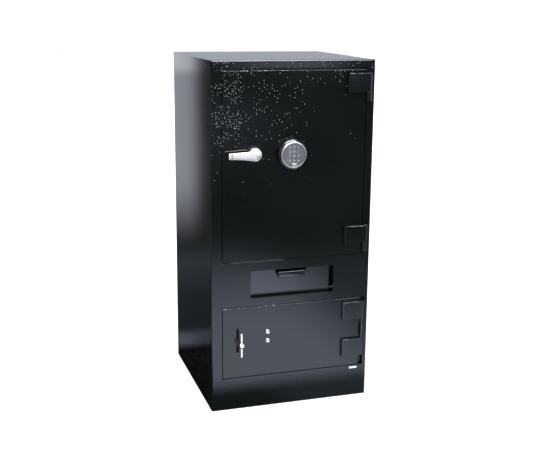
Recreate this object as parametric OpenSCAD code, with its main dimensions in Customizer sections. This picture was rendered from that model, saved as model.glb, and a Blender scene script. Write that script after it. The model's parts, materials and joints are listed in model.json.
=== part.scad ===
// Two-door drop safe: an upper door with a lever and a push-button keypad, a tilting deposit hopper,
// and a lower door with a bar handle and a two-key lock. Millimetres, +Z up, the front faces -Y,
// origin at the centre of the underside of the cabinet. Each door is drawn shut with its bolts withdrawn.

/* [Cabinet] */
// Width of the cabinet
body_w = 508; // [470:1:600]
// Height of the cabinet
body_h = 1067; // [1000:1:1250]
// Depth of the cabinet from its front face to its back face
body_d = 508; // [420:1:640]
// Thickness of the cabinet plates
wall = 6; // [5:0.5:7]
// Outside radius of the bent front corners
corner_r = 4; // [2:0.5:4.5]
// Width of the frame on the left of the doors
left_stile = 32.5; // [30:0.5:40]
// Width of the frame on the right of the doors
right_stile = 12; // [10:1:15]
// Height of the frame above the upper door
top_rail = 27; // [22:1:40]
// Height of the panel under the lower door
kick_h = 101.5; // [80:0.5:120]
// Height of the opening for the lower door
lower_open_h = 227.5; // [215:0.5:240]
// Height of the panel between the doors
hopper_panel_h = 140.5; // [136:0.5:160]
// Height of the shelf above the floor of the upper compartment
shelf_h = 265; // [200:1:300]
// Thickness of the shelf and of its rails
shelf_t = 3; // [2:0.5:4]
// Height of the shelf's turned-down front edge
shelf_lip = 14; // [10:1:16]
// Width of the shelf rails
shelf_rail_w = 20; // [15:1:30]
// Height of the baffle behind the hopper
baffle_h = 66; // [50:1:80]
// Width of the baffle's teeth
tooth = 24; // [16:1:30]
// Width of the blank tag
tag_w = 26; // [15:1:40]
// Height of the blank tag
tag_h = 6.5; // [4:0.5:9]
// Distance from the top of the panel under the lower door down to the tag
tag_down = 4.5; // [2:0.5:12]
// Distance from the right edge of the doors to the tag
tag_in = 3; // [0:0.5:20]
// Radius of the anchor holes
anchor_r = 7; // [5:0.5:9]
// Distance between anchor holes across the cabinet
anchor_dx = 380; // [300:5:420]
// Distance between anchor holes from front to back
anchor_dy = 380; // [300:5:400]

/* [Doors] */
// Thickness of the door plates
door_t = 12; // [10:0.5:14]
// Gap round the top, bottom and left edge of a door
door_gap = 2.5; // [2:0.25:4]
// Width of the channel between a door and the right stile
hinge_gap = 16; // [15.5:0.25:18]
// Thickness of the jamb strips behind the doors
jamb_t = 6; // [4:0.5:7]
// How far the jamb strips reach behind a door's edge
jamb_lap = 7.5; // [6:0.5:9]
// Gap between the back of a shut door and its jamb
seat_gap = 1; // [0.5:0.25:1.5]
// Depth of the boltwork space behind a door
works_d = 45; // [44:1:50]
// Thickness of the sheet covers over the boltwork
cover_t = 1.5; // [1:0.25:2]
// Margin from a door's edge to the ends of its boltwork cover
cover_margin = 30; // [28:1:34]

/* [Hinges] */
// Distance from the left edge of a hinge leaf to the pin
leaf_w = 68; // [50:1:70]
// Height of a hinge leaf
leaf_h = 56; // [50:1:60]
// Thickness of a hinge leaf
leaf_t = 12; // [11:0.5:13]
// Radius of the hinge knuckles
knuckle_r = 7.5; // [7:0.1:7.5]
// Radius of the hinge pins
pin_r = 4; // [3:0.25:4.5]
// Distance from the front face of the cabinet out to the pin's axis
pin_out = 5; // [5:0.25:6]
// Height of the knuckles on the cabinet
lug_h = 28; // [22:1:32]
// Depth of the pockets in the upper door round its hinge leaves
pocket_d = 4; // [2:0.5:5]
// Distance from the top of a door down to its upper leaf
leaf_high = 10; // [9:1:14]
// Distance from the bottom of a door up to its lower leaf
leaf_low = 34; // [32:1:38]

/* [Boltwork] */
// Radius of the locking bolts
bolt_r = 10; // [8:0.5:10.5]
// Travel of the locking bolts
throw = 25; // [20:1:26]
// Turn of each handle, in degrees
handle_turn = 80; // [60:5:85]
// Number of bolts on the upper door
upper_bolts = 3; // [2:1:4]
// Number of bolts on the lower door
lower_bolts = 2; // [2:1:2]
// Width of the bolt carriages
carriage_w = 28; // [25:1:32]
// Thickness of the bolt carriages, guides and crank arms
bar_t = 6; // [5:0.5:7]
// Radius of the handle spindles
spindle_r = 6; // [5:0.25:7]
// Radius of the crank pins
crank_pin_r = 3.5; // [3:0.25:4]

/* [Lever] */
// Distance from the left edge of the cabinet to the lever's spindle
lever_in = 130; // [128:0.1:136]
// Height of the lever's spindle above the middle of the upper door
lever_up = 42; // [-60:0.5:60]
// Radius of the lever's hub
hub_r = 18.5; // [16:0.5:22]
// Distance that the lever stands out from the door
lever_out = 31; // [28:0.5:38]
// Length of the lever from its spindle to its tip
lever_len = 82; // [70:1:86]
// Height of the lever's arm at its tip
lever_tip_h = 19; // [14:0.5:22]
// Distance that the middle of the lever's tip lies below the spindle
lever_dip = 1.8; // [0:0.2:3]
// Thickness of the lever's arm
lever_t = 13; // [9:0.5:15]
// Radius of the rosette under the lever
rosette_r = 24; // [22:0.5:28]
// Thickness of the rosette under the lever
rosette_t = 4; // [3:0.5:5]

/* [Keypad] */
// Distance from the left edge of the cabinet to the keypad's centre
keypad_in = 245; // [235:1:255]
// Height of the keypad's centre above the lever's spindle
keypad_up = -3; // [-8:0.5:8]
// Radius of the keypad's ring
keypad_r = 38; // [37.5:0.5:42]
// Radius of the keypad's housing at the door
keypad_base_r = 45; // [43:0.5:48]
// Distance that the keypad's ring stands out from the door
keypad_out = 30; // [28:0.5:36]
// Distance between keys
key_pitch = 13.2; // [12:0.1:13.5]
// Radius of a key
key_r = 4.6; // [3:0.1:5.4]
// Travel of a key
key_travel = 1.2; // [0.6:0.1:1.5]
// Width of the battery drawer
drawer_w = 30; // [30:0.5:34]
// Length of the block battery
battery_l = 48.5; // [46:0.5:49]
// Width of the block battery
battery_w = 26.4; // [25:0.1:26.5]
// Thickness of the block battery
battery_t = 16.6; // [15:0.1:17]

/* [Lower lock] */
// Distance from the left edge of the cabinet to the bar handle's spindle
bar_in = 87.5; // [87:0.1:90]
// Length of the bar handle
bar_len = 76; // [60:1:90]
// Radius of the bar handle's grips
bar_r = 4.7; // [3.5:0.1:5.5]
// Distance that the bar handle's hub stands out from the door
bar_out = 31; // [26:0.5:36]
// Radius of the bar handle's hub
bar_hub_r = 8; // [7.2:0.2:9]
// Distance from the left edge of the cabinet to the key noses
nose_in = 176.3; // [170:0.1:182]
// Height of the middle of the key noses above the bar handle's spindle
nose_up = 14.4; // [12:0.2:18]
// Distance between the key noses
nose_pitch = 28.3; // [22:0.1:30]
// Radius of a key nose
nose_r = 6.3; // [5.5:0.1:7]

/* [Hopper] */
// Width of the hopper's opening
hopper_w = 268; // [220:1:300]
// Height of the hopper's opening
hopper_h = 86; // [84:0.5:95]
// Distance of the hopper's opening from the bottom of its panel
hopper_low = 24.5; // [22:0.5:30]
// Distance of the hopper's opening from the middle of the cabinet, to the right
hopper_x = 2; // [-10:1:10]
// Depth of the recess in front of the hopper's face
recess = 20; // [18:0.5:30]
// Gap at the left, the top and the bottom of the hopper's face
hopper_gap = 2.5; // [2:0.25:4]
// Gap at the right of the hopper's face
hopper_right_gap = 8; // [3:0.5:12]
// Thickness of the hopper's face
face_t = 4; // [3:0.5:5]
// Thickness of the hopper's sheet parts
sheet_t = 3; // [2:0.5:4]
// Length of the hopper's floor behind its pivot
tray_len = 100; // [90:1:106]
// Slope of the hopper's floor when it is shut, in degrees
tray_slope = 12; // [8:1:15]
// Width of the finger slot in the hopper's face
slot_w = 98; // [80:1:120]
// Depth of the finger slot
slot_d = 15; // [12:0.5:20]
// Width of the pull lip
lip_w = 84; // [60:1:110]
// Height of the pull lip
lip_h = 18; // [12:0.5:24]
// Distance that the pull lip stands out from the hopper's face
lip_out = 12; // [9:0.5:16]

/* [Hidden] */
$fn = 64;

paint = [0.055, 0.057, 0.062];
works_paint = [0.45, 0.46, 0.47];
bright_steel = [0.62, 0.62, 0.63];
chrome = [0.85, 0.85, 0.86];
brass = [0.72, 0.58, 0.30];
keypad_grey = [0.30, 0.31, 0.35];
key_rubber = [0.22, 0.23, 0.26];

// Clearances: a shaft in its bore, a fixed fit, and a part at rest on its seat
running = 0.06;
fixed_fit = 0.05;
rest_gap = 0.3;

// Cabinet faces and openings
left_x = -body_w / 2;
right_x = body_w / 2;
front_y = -body_d / 2;
back_y = body_d / 2;
in_left = left_x + wall;
in_right = right_x - wall;
in_front = front_y + wall;
in_back = back_y - wall;
open_left = left_x + left_stile;
open_right = right_x - right_stile;
lower_z = [kick_h, kick_h + lower_open_h];
panel_z = [lower_z[1], lower_z[1] + hopper_panel_h];
upper_z = [panel_z[1], body_h - top_rail];
divider_top = upper_z[0] - 2;

shelf_z = divider_top + shelf_h;
tag_t = 0.8;

// Doors
door_left = open_left + door_gap;
door_right = open_right - hinge_gap;
door_back = front_y + door_t;
upper_door_z = [upper_z[0] + door_gap, upper_z[1] - door_gap];
lower_door_z = [lower_z[0] + door_gap, lower_z[1] - door_gap];
jamb_front = door_back + seat_gap;
jamb_back = jamb_front + jamb_t;

// Hinges
pin_x = open_right - hinge_gap / 2;
pin_y = front_y - pin_out;
jamb_right = pin_x - 6;
upper_leaves = [upper_door_z[0] + leaf_low, upper_door_z[1] - leaf_high - leaf_h];
lower_leaves = [lower_door_z[0] + leaf_low, lower_door_z[1] - leaf_high - leaf_h];
lug_x = pin_x - knuckle_r / 2;
lower_lug = [lower_leaves[0] + leaf_h + 10, lower_leaves[0] + leaf_h + 10 + lug_h];
lug_collar_r = pin_r + 1.8;
strip_gap = 4;

// Boltwork, from the left: bolt tips, guide, carriage
works_back = door_back + works_d;
shelf_front = works_back + 12;
bolt_y = door_back + 20;
bolt_tip = door_left + jamb_lap + 4;
guide_x = [bolt_tip + 9, bolt_tip + 9 + bar_t];
carriage_x = [guide_x[1] + throw + 2, guide_x[1] + throw + 2 + carriage_w];
carriage_y = [bolt_y - bar_t / 2, bolt_y + bar_t / 2];
crank_r = throw / (2 * sin(handle_turn / 2));
crank_y = [door_back + 4, door_back + 4 + bar_t];
crank_slot = crank_pin_r + 0.6;
bolt_inset = 30;
dead_x = [jamb_right - 28, jamb_right - 8, pin_x - 2];
cover_right = dead_x[0] - 12;
dead_y = jamb_back + 1;
dead_t = 12;
dead_inset = 55;

// Lever and keypad
lever_x = left_x + lever_in;
lever_z = (upper_door_z[0] + upper_door_z[1]) / 2 + lever_up;
keypad_x = left_x + keypad_in;
keypad_z = lever_z + keypad_up;
keypad_wall = 2.5;
keypad_face_r = keypad_r - 3.9;
keypad_lip = 5;
shoulder_r = keypad_base_r - keypad_r;
shoulder_out = keypad_out - 4 - shoulder_r;
shoulder_steps = 5;
key_rows = 4;
keys_up = 2.5;
key_hole_r = key_r + 0.25;
key_front = front_y - keypad_out + 0.3;
key_back = key_front + 5;
board_y = [key_back + key_travel + rest_gap, key_back + key_travel + rest_gap + 1.6];
drawer_wall = 1.5;
drawer_floor = 3.5;
drawer_depth = [1.5, 1.5 + battery_t + 1.4];
drawer_low = -keypad_base_r + 2;
battery_low = drawer_low + drawer_floor + rest_gap;
drawer_top = battery_low + battery_l + 2 + drawer_wall;
tab_w = 14;
tab_top = 18.5;
tab_t = 2;
cable_up = 22;
cable_r = 2;

// Upper lock case and its swing bolt
case_x = [keypad_x - 51, keypad_x + 11];
case_z = [lever_z - 42, lever_z + 44];
case_y = [door_back, door_back + 34];
swing_pivot = [case_x[0] + 14, lever_z - 10];
swing_len = 24;
swing_turn = 70;
swing_w = 9;
swing_t = 8;
swing_pin_r = 3;

// Bar handle, key noses and lower lock
bar_x = left_x + bar_in;
bar_z = (lower_door_z[0] + lower_door_z[1]) / 2;
bar_cross = bar_out - 9;
bar_neck_r = bar_r - 1;
bar_grip = 26;
bar_rosette_r = 14;
bar_rosette_t = 3;
nose_x = left_x + nose_in;
nose_mid = bar_z + nose_up;
nose_out = 4.5;
lower_case_x = [nose_x - 32, nose_x + 38];
lower_case_z = [nose_mid - 46, nose_mid + 40];
lower_case_y = [door_back, door_back + 34];
lock_bolt_l = 28;
lock_bolt_h = 24;
lock_bolt_t = 10;

// Hopper
hopper_z = [panel_z[0] + hopper_low, panel_z[0] + hopper_low + hopper_h];
face_front = front_y + recess;
face_x = [hopper_x - hopper_w / 2 + hopper_gap, hopper_x + hopper_w / 2 - hopper_right_gap];
pivot_y = face_front + 2;
pivot_z = hopper_z[0] + 9;
pivot_r = 5;
cheek_r = hopper_h - 13;
housing_back = pivot_y + tray_len - 3;

// A block between its low corner and its high corner
module block(low, high) {
    translate(low) cube(high - low);
}

// A round bar along Y from one depth to another
module rod_y(x, z, from, to, r) {
    translate([x, from, z]) rotate([-90, 0, 0]) cylinder(r = r, h = to - from);
}

// A round bar along X from one side to another
module rod_x(y, z, from, to, r) {
    translate([from, y, z]) rotate([0, 90, 0]) cylinder(r = r, h = to - from);
}

// An outline in Y and Z, extruded along X
module slab_x(from, to) {
    translate([from, 0, 0]) rotate([90, 0, 90]) linear_extrude(to - from) children();
}

// A side plate with its front return, as an outline from above; its outside front corner is at the origin
module bent_side(return_w) {
    difference() {
        union() {
            translate([0, corner_r]) square([wall, body_d - corner_r]);
            translate([corner_r, 0]) square([return_w - corner_r, wall]);
            translate([corner_r, corner_r]) circle(corner_r);
        }
        translate([wall, wall]) square([return_w, body_d]);
    }
}

// A side whose front return is cut down at its top, so that the top plate runs over it
module side_plate(return_w) {
    difference() {
        linear_extrude(body_h) bent_side(return_w);
        translate([wall, -1, body_h - wall]) cube([return_w, body_d, wall + 1]);
    }
}

module left_side() {
    color(paint) translate([left_x, front_y, 0]) side_plate(left_stile);
}

module right_side() {
    color(paint) translate([right_x, front_y, 0]) mirror([1, 0, 0]) side_plate(right_stile);
}

// The top with its rounded front edge, between the sides
module top_plate() {
    color(paint) slab_x(in_left, in_right) intersection() {
        translate([front_y, body_h - wall]) square([body_d, wall]);
        union() {
            translate([front_y + corner_r, body_h - corner_r]) circle(corner_r);
            translate([front_y, body_h - 2 * wall]) square([corner_r, 2 * wall - corner_r]);
            translate([front_y + corner_r, body_h - 2 * wall]) square([body_d - corner_r, 2 * wall]);
        }
    }
}

module floor_plate() {
    color(paint) difference() {
        block([in_left, in_front, 0], [in_right, back_y, wall]);
        for (sx = [-1, 1])
            for (sy = [-1, 1])
                translate([sx * anchor_dx / 2, sy * anchor_dy / 2, -1])
                    cylinder(r = anchor_r, h = wall + 2);
    }
}

module back_plate() {
    color(paint) block([in_left, in_back, wall], [in_right, back_y, body_h - wall]);
}

module header_rail() {
    color(paint) block([open_left, front_y, upper_z[1]], [open_right, in_front, body_h - wall]);
}

module hopper_panel() {
    color(paint) difference() {
        block([open_left, front_y, panel_z[0]], [open_right, in_front, panel_z[1]]);
        block([hopper_x - hopper_w / 2, front_y - 1, hopper_z[0]],
              [hopper_x + hopper_w / 2, in_front + 1, hopper_z[1]]);
    }
}

module kick_panel() {
    color(paint) block([open_left, front_y, 0], [open_right, in_front, kick_h]);
}

module divider() {
    color(paint) block([in_left, in_front, divider_top - wall], [in_right, in_back, divider_top]);
}

// The strips that one door shuts against; low and high are the ends of the strips at the sides
module jamb_ring(door_z, low, high) {
    difference() {
        block([in_left, jamb_front, low], [in_right, jamb_back, high]);
        block([door_left + jamb_lap, jamb_front - 1, door_z[0] + jamb_lap],
              [jamb_right, jamb_back + 1, door_z[1] - jamb_lap]);
    }
}

module door_jambs() {
    color(paint) {
        jamb_ring(upper_door_z, divider_top, body_h - wall);
        jamb_ring(lower_door_z, lower_door_z[0] - jamb_lap, lower_door_z[1] + jamb_lap);
    }
}

// The strip that fills the channel beside the upper door, cut away round the hinges
module hinge_strip() {
    color(paint) difference() {
        block([door_right + door_gap, front_y, upper_z[0]], [open_right, in_front, upper_z[1]]);
        for (z = upper_leaves)
            block([door_right, front_y - 1, z - rest_gap - lug_h - strip_gap],
                  [open_right + 1, in_front + 1, z + leaf_h + strip_gap]);
    }
}

// A knuckle on the cabinet: it stands in the channel and is carried by the right stile and the jamb
module hinge_lug(low, high) {
    difference() {
        union() {
            translate([pin_x, pin_y, low]) cylinder(r = knuckle_r, h = high - low);
            block([lug_x, pin_y, low], [open_right, jamb_front, high]);
        }
        translate([pin_x, pin_y, low - 1]) cylinder(r = pin_r + fixed_fit, h = high - low + 2);
    }
}

// A turned collar between a knuckle on the cabinet and a leaf
module hinge_collar(low, high) {
    difference() {
        translate([pin_x, pin_y, low]) cylinder(r = lug_collar_r, h = high - low);
        translate([pin_x, pin_y, low - 1]) cylinder(r = pin_r + fixed_fit, h = high - low + 2);
    }
}

module hinge_lugs() {
    color(paint) {
        for (z = upper_leaves) hinge_lug(z - rest_gap - lug_h, z - rest_gap);
        hinge_lug(lower_lug[0], lower_lug[1]);
        hinge_collar(lower_leaves[0] + leaf_h + rest_gap, lower_lug[0]);
        hinge_collar(lower_lug[1], lower_leaves[1] - rest_gap);
    }
}

module hinge_pin(low, high) {
    translate([pin_x, pin_y, low]) cylinder(r = pin_r, h = high - low);
    translate([pin_x, pin_y, high]) cylinder(r = pin_r + 1.5, h = 2);
}

module hinge_pins() {
    color(paint) {
        for (z = upper_leaves) hinge_pin(z - rest_gap - lug_h, z + leaf_h + rest_gap);
        hinge_pin(lower_leaves[0], lower_leaves[1] + leaf_h + rest_gap);
    }
}

// A leaf on a door: a plate that ends in a knuckle round the pin, seated at the given depth
module hinge_leaf(z, seat) {
    difference() {
        union() {
            block([pin_x - leaf_w, front_y - leaf_t, z], [door_right, front_y + seat, z + leaf_h]);
            block([door_right - 1, front_y - leaf_t, z], [pin_x, front_y - 1, z + leaf_h]);
            translate([pin_x, pin_y, z]) cylinder(r = knuckle_r, h = leaf_h);
        }
        translate([pin_x, pin_y, z - 1]) cylinder(r = pin_r + running, h = leaf_h + 2);
    }
}

module upper_hinge_leaves() {
    color(paint) for (z = upper_leaves) hinge_leaf(z, pocket_d);
}

module lower_hinge_leaves() {
    color(paint) for (z = lower_leaves) hinge_leaf(z, 0);
}

// The box round the hopper's opening, and the sill under its face
module hopper_housing() {
    half = hopper_w / 2;
    outer = [hopper_x - half - sheet_t, hopper_x + half + sheet_t];
    low = hopper_z[0] - sheet_t;
    high = hopper_z[1] + sheet_t;
    sill_back = pivot_y + 4;
    color(paint) difference() {
        union() {
            block([outer[0], in_front, low], [hopper_x - half, housing_back, high]);
            block([hopper_x + half, in_front, low], [outer[1], housing_back, high]);
            block([outer[0], in_front, hopper_z[1]], [outer[1], housing_back, high]);
            block([outer[0], in_front, low], [outer[1], sill_back, hopper_z[0]]);
        }
        rod_x(pivot_y, pivot_z, outer[0] - 1, outer[1] + 1, pivot_r + running);
    }
}

// A toothed plate that hangs from the divider behind the hopper
module drop_baffle() {
    baffle_y = pivot_y + tray_len + 9;
    high = divider_top - wall;
    low = high - baffle_h;
    teeth = floor((hopper_w + 2 * wall) / tooth);
    half = teeth * tooth / 2;
    color(paint) difference() {
        block([hopper_x - half, baffle_y, low], [hopper_x + half, baffle_y + sheet_t, high]);
        for (i = [0 : teeth - 1])
            translate([hopper_x - half + (i + 0.5) * tooth, baffle_y - 1, low])
                rotate([0, 45, 0]) translate([-tooth / 4, 0, -tooth / 4])
                    cube([tooth / 2, sheet_t + 2, tooth / 2]);
    }
}

module shelf_rails() {
    color(paint) for (side = [-1, 1])
        mirror([side > 0 ? 1 : 0, 0, 0]) union() {
            block([in_left, shelf_front, shelf_z - shelf_t], [in_left + shelf_rail_w, in_back, shelf_z]);
            block([in_left, shelf_front, shelf_z - shelf_rail_w], [in_left + shelf_t, in_back, shelf_z]);
        }
}

module shelf() {
    color(works_paint) union() {
        block([in_left + 1, shelf_front, shelf_z], [in_right - 1, in_back - 1, shelf_z + shelf_t]);
        block([in_left + shelf_rail_w + 2, shelf_front, shelf_z - shelf_lip],
              [in_right - shelf_rail_w - 2, shelf_front + shelf_t, shelf_z + shelf_t]);
    }
}

module blank_tag() {
    right = door_right - tag_in;
    high = kick_h - tag_down;
    color("white") block([right - tag_w, front_y - tag_t, high - tag_h], [right, front_y, high]);
}

// A door plate between two heights
module door_plate(z) {
    block([door_left, front_y, z[0]], [door_right, door_back, z[1]]);
}

module upper_door_plate() {
    color(paint) difference() {
        door_plate(upper_door_z);
        rod_y(lever_x, lever_z, front_y - 1, door_back + 1, spindle_r + running);
        rod_y(keypad_x, keypad_z + cable_up, front_y - 1, door_back + 1, cable_r + 2);
        for (z = upper_leaves)
            block([pin_x - leaf_w - 8, front_y - 1, z - 7],
                  [door_right + 1, front_y + pocket_d, z + leaf_h + 2]);
    }
}

module lower_door_plate() {
    color(paint) difference() {
        door_plate(lower_door_z);
        rod_y(bar_x, bar_z, front_y - 1, door_back + 1, spindle_r + running);
        for (side = [-1, 1])
            rod_y(nose_x, nose_mid + side * nose_pitch / 2, front_y - 1, door_back + 1, nose_r + fixed_fit);
    }
}

// The heights of n bolts on a door
function bolt_heights(door_z, n) =
    let (low = door_z[0] + cover_margin + bolt_inset, high = door_z[1] - cover_margin - bolt_inset)
    [for (i = [0 : n - 1]) low + (high - low) * i / (n - 1)];

// The guide for a door's bolts, and the fixed bar that hooks behind the jamb on the hinge side
module door_bars(door_z, n) {
    low = door_z[0] + dead_inset;
    high = door_z[1] - dead_inset;
    difference() {
        block([guide_x[0], door_back, door_z[0] + cover_margin],
              [guide_x[1], works_back, door_z[1] - cover_margin]);
        for (z = bolt_heights(door_z, n))
            rod_x(bolt_y, z, guide_x[0] - 1, guide_x[1] + 1, bolt_r + running);
    }
    block([dead_x[0], door_back, low], [dead_x[1], dead_y + dead_t, high]);
    block([dead_x[1] - 1, dead_y, low], [dead_x[2], dead_y + dead_t, high]);
}

module upper_door_bars() {
    color(works_paint) door_bars(upper_door_z, upper_bolts);
}

module lower_door_bars() {
    color(works_paint) door_bars(lower_door_z, lower_bolts);
}

// A sheet cover over the boltwork: a back, a top, a bottom and a right wall, each with a foot on the door
module boltwork_cover(door_z) {
    low = [guide_x[1], door_back, door_z[0] + cover_margin];
    high = [cover_right, works_back, door_z[1] - cover_margin];
    difference() {
        block(low, high);
        block([low[0] - 1, door_back - 1, low[2] + cover_t],
              [high[0] - cover_t, high[1] - cover_t, high[2] - cover_t]);
    }
}

module upper_boltwork_cover() {
    color(works_paint) difference() {
        boltwork_cover(upper_door_z);
        for (p = cover_screw_places(upper_door_z)) rod_y(p[0], p[1], works_back - 3, works_back + 1, 2.6);
    }
}

module lower_boltwork_cover() {
    color(works_paint) boltwork_cover(lower_door_z);
}

// The places of the screws through a door's cover
function cover_screw_places(door_z) =
    let (low = door_z[0] + cover_margin + 16, high = door_z[1] - cover_margin - 16)
    [for (x = [carriage_x[1] + 9, cover_right - 16])
        for (z = [low, (low + high) / 2 - 60, high]) [x, z]];

module upper_cover_screws() {
    color(bright_steel) for (p = cover_screw_places(upper_door_z)) {
        rod_y(p[0], p[1], door_back, works_back, 2.5);
        rod_y(p[0], p[1], works_back, works_back + 2.5, 4.5);
    }
}

// A crank arm on a handle's spindle, turned to its rest position, with its pin through the carriage's slot
module crank(x, z) {
    translate([x, 0, z]) rotate([0, handle_turn / 2, 0]) translate([-x, 0, -z]) {
        rod_y(x, z, crank_y[0], crank_y[1], spindle_r + 4);
        rod_y(x, z + crank_r, crank_y[0], crank_y[1], crank_pin_r + 3);
        block([x - crank_pin_r - 3, crank_y[0], z], [x + crank_pin_r + 3, crank_y[1], z + crank_r]);
        rod_y(x, z + crank_r, crank_y[1] - 1, carriage_y[1] + 2, crank_pin_r);
    }
}

// The slot in a carriage for the crank pin of a handle
module crank_slot(x, z) {
    rest_x = x + crank_r * sin(handle_turn / 2);
    low = z + crank_r * cos(handle_turn / 2) - crank_slot;
    high = z + crank_r + crank_slot;
    block([rest_x - crank_slot, carriage_y[0] - 1, low], [rest_x + crank_slot, carriage_y[1] + 1, high]);
}

// A flat bar with its round bolts, drawn withdrawn; its arm reaches out to the lock
module bolt_carriage(door_z, n, arm_right, arm_z) {
    z = bolt_heights(door_z, n);
    block([carriage_x[0], carriage_y[0], z[0] - bolt_r - 4],
          [carriage_x[1], carriage_y[1], z[n - 1] + bolt_r + 4]);
    block([carriage_x[1] - 1, carriage_y[0], arm_z[0]], [arm_right, carriage_y[1], arm_z[1]]);
    for (h = z) rod_x(bolt_y, h, bolt_tip, carriage_x[0], bolt_r);
}

module upper_bolt_carriage() {
    color(bright_steel) difference() {
        bolt_carriage(upper_door_z, upper_bolts, case_x[0] - 3, [lever_z - 22, lever_z + crank_r + 14]);
        crank_slot(lever_x, lever_z);
    }
}

module lower_bolt_carriage() {
    arm_z = [nose_mid - lock_bolt_h / 2 - 4, nose_mid + lock_bolt_h / 2 + 4];
    color(bright_steel) difference() {
        bolt_carriage(lower_door_z, lower_bolts, lower_case_x[0] - 3, arm_z);
        crank_slot(bar_x, bar_z);
    }
}

// The upper lock's case, with the mouth that its swing bolt turns in
module upper_lock_case() {
    pocket_y = [bolt_y - swing_t / 2 - rest_gap, bolt_y + swing_t / 2 + rest_gap];
    reach = swing_len + 2;
    color(works_paint) difference() {
        block([case_x[0], case_y[0], case_z[0]], [case_x[1], case_y[1], case_z[1]]);
        block([case_x[0] - 1, pocket_y[0], swing_pivot[1] - swing_w - 3],
              [swing_pivot[0] + swing_w + 3, pocket_y[1], swing_pivot[1] + reach]);
        rod_y(keypad_x, keypad_z + cable_up, door_back - 1, door_back + 6, cable_r + 2);
    }
    rod_y(swing_pivot[0], swing_pivot[1], pocket_y[0], pocket_y[1], swing_pin_r);
}

// The swing bolt, drawn pushed in by the withdrawn carriage
module swing_bolt() {
    y = [bolt_y - swing_t / 2, bolt_y + swing_t / 2];
    color(brass) difference() {
        translate([swing_pivot[0], 0, swing_pivot[1]]) rotate([0, swing_turn, 0]) union() {
            rod_y(0, 0, y[0], y[1], swing_w);
            block([-swing_len, y[0], -swing_w / 2], [0, y[1], swing_w / 2]);
        }
        rod_y(swing_pivot[0], swing_pivot[1], y[0] - 1, y[1] + 1, swing_pin_r + running);
    }
}

module lever_rosette() {
    color(paint) difference() {
        rod_y(lever_x, lever_z, front_y - rosette_t, front_y, rosette_r);
        rod_y(lever_x, lever_z, front_y - rosette_t - 1, front_y + 1, spindle_r + running);
    }
}

// The lever: a domed hub and a flat arm that points left and tapers to its tip along its lower edge
module lever_handle() {
    arm_y = front_y - lever_out;
    dome = 5;
    hub_h = lever_out - rosette_t - rest_gap - dome;
    root = hub_r * 0.62;
    heel = hub_r * 0.97;
    tip = [lever_x - lever_len, lever_z - lever_dip];
    half = lever_tip_h / 2;
    color(chrome) difference() {
        union() {
            translate([lever_x, front_y - rosette_t - rest_gap, lever_z]) rotate([90, 0, 0]) {
                cylinder(r = hub_r, h = hub_h);
                translate([0, 0, hub_h]) cylinder(r1 = hub_r, r2 = hub_r - dome, h = dome);
            }
            translate([0, arm_y + lever_t, 0]) rotate([90, 0, 0]) linear_extrude(lever_t)
                polygon([[lever_x, lever_z + root], [tip[0] + 4, tip[1] + half],
                         [tip[0], tip[1] + half - 4], [tip[0], tip[1] - half + 4],
                         [tip[0] + 4, tip[1] - half], [lever_x, lever_z - heel]]);
        }
        rod_y(lever_x, lever_z, front_y - 15, front_y, spindle_r + fixed_fit);
    }
}

module lever_spindle() {
    color(bright_steel) {
        rod_y(lever_x, lever_z, front_y - 15, crank_y[1], spindle_r);
        crank(lever_x, lever_z);
    }
}

// The keypad's round housing: a shell with a round shoulder and a rim round the face, open at the bottom
// for the drawer, with a notch for the neck of its tab
module keypad_housing() {
    half = drawer_w / 2 + rest_gap;
    neck = tab_w / 2 + rest_gap;
    turns = [for (i = [0 : shoulder_steps]) 90 * i / shoulder_steps];
    shoulder = [for (a = turns) [keypad_r + shoulder_r * cos(a), shoulder_out + shoulder_r * sin(a)]];
    color(chrome) difference() {
        translate([keypad_x, front_y, keypad_z]) rotate([90, 0, 0]) rotate_extrude()
            polygon(concat([[keypad_base_r - keypad_wall, 0], [keypad_base_r, 0]], shoulder,
                    [[keypad_r - 2, keypad_out],
                     [keypad_face_r + fixed_fit, keypad_out],
                     [keypad_face_r + fixed_fit, keypad_out - keypad_lip],
                     [keypad_r - keypad_wall, keypad_out - keypad_lip]]));
        block([keypad_x - neck, front_y - keypad_out, keypad_z - keypad_base_r - 1],
              [keypad_x + neck, front_y - drawer_depth[1], keypad_z + drawer_low + tab_t + rest_gap]);
        block([keypad_x - half, front_y - drawer_depth[1] - rest_gap, keypad_z - keypad_base_r - 1],
              [keypad_x + half, front_y - drawer_depth[0] + rest_gap, keypad_z]);
    }
}

// The place of a key, 0 to 11, from the top left
function key_place(i) = [
    keypad_x + (i % 3 - 1) * key_pitch,
    keypad_z + keys_up + ((key_rows - 1) / 2 - floor(i / 3)) * key_pitch
];

module keypad_face() {
    y = [front_y - keypad_out + 1.2, front_y - keypad_out + keypad_lip + 0.8];
    color(keypad_grey) difference() {
        rod_y(keypad_x, keypad_z, y[0], y[1], keypad_face_r);
        for (i = [0 : 11]) rod_y(key_place(i)[0], key_place(i)[1], y[0] - 1, y[1] + 1, key_hole_r);
    }
}

module key(i) {
    color(key_rubber) rod_y(key_place(i)[0], key_place(i)[1], key_front, key_back, key_r);
}

// The circuit board under the keys, with its lead through the door to the lock
module keypad_board() {
    color("darkgreen") {
        rod_y(keypad_x, keypad_z, board_y[0], board_y[1], keypad_r - keypad_wall - rest_gap);
        rod_y(keypad_x, keypad_z + cable_up, board_y[1], door_back + 6, cable_r);
    }
}

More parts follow.
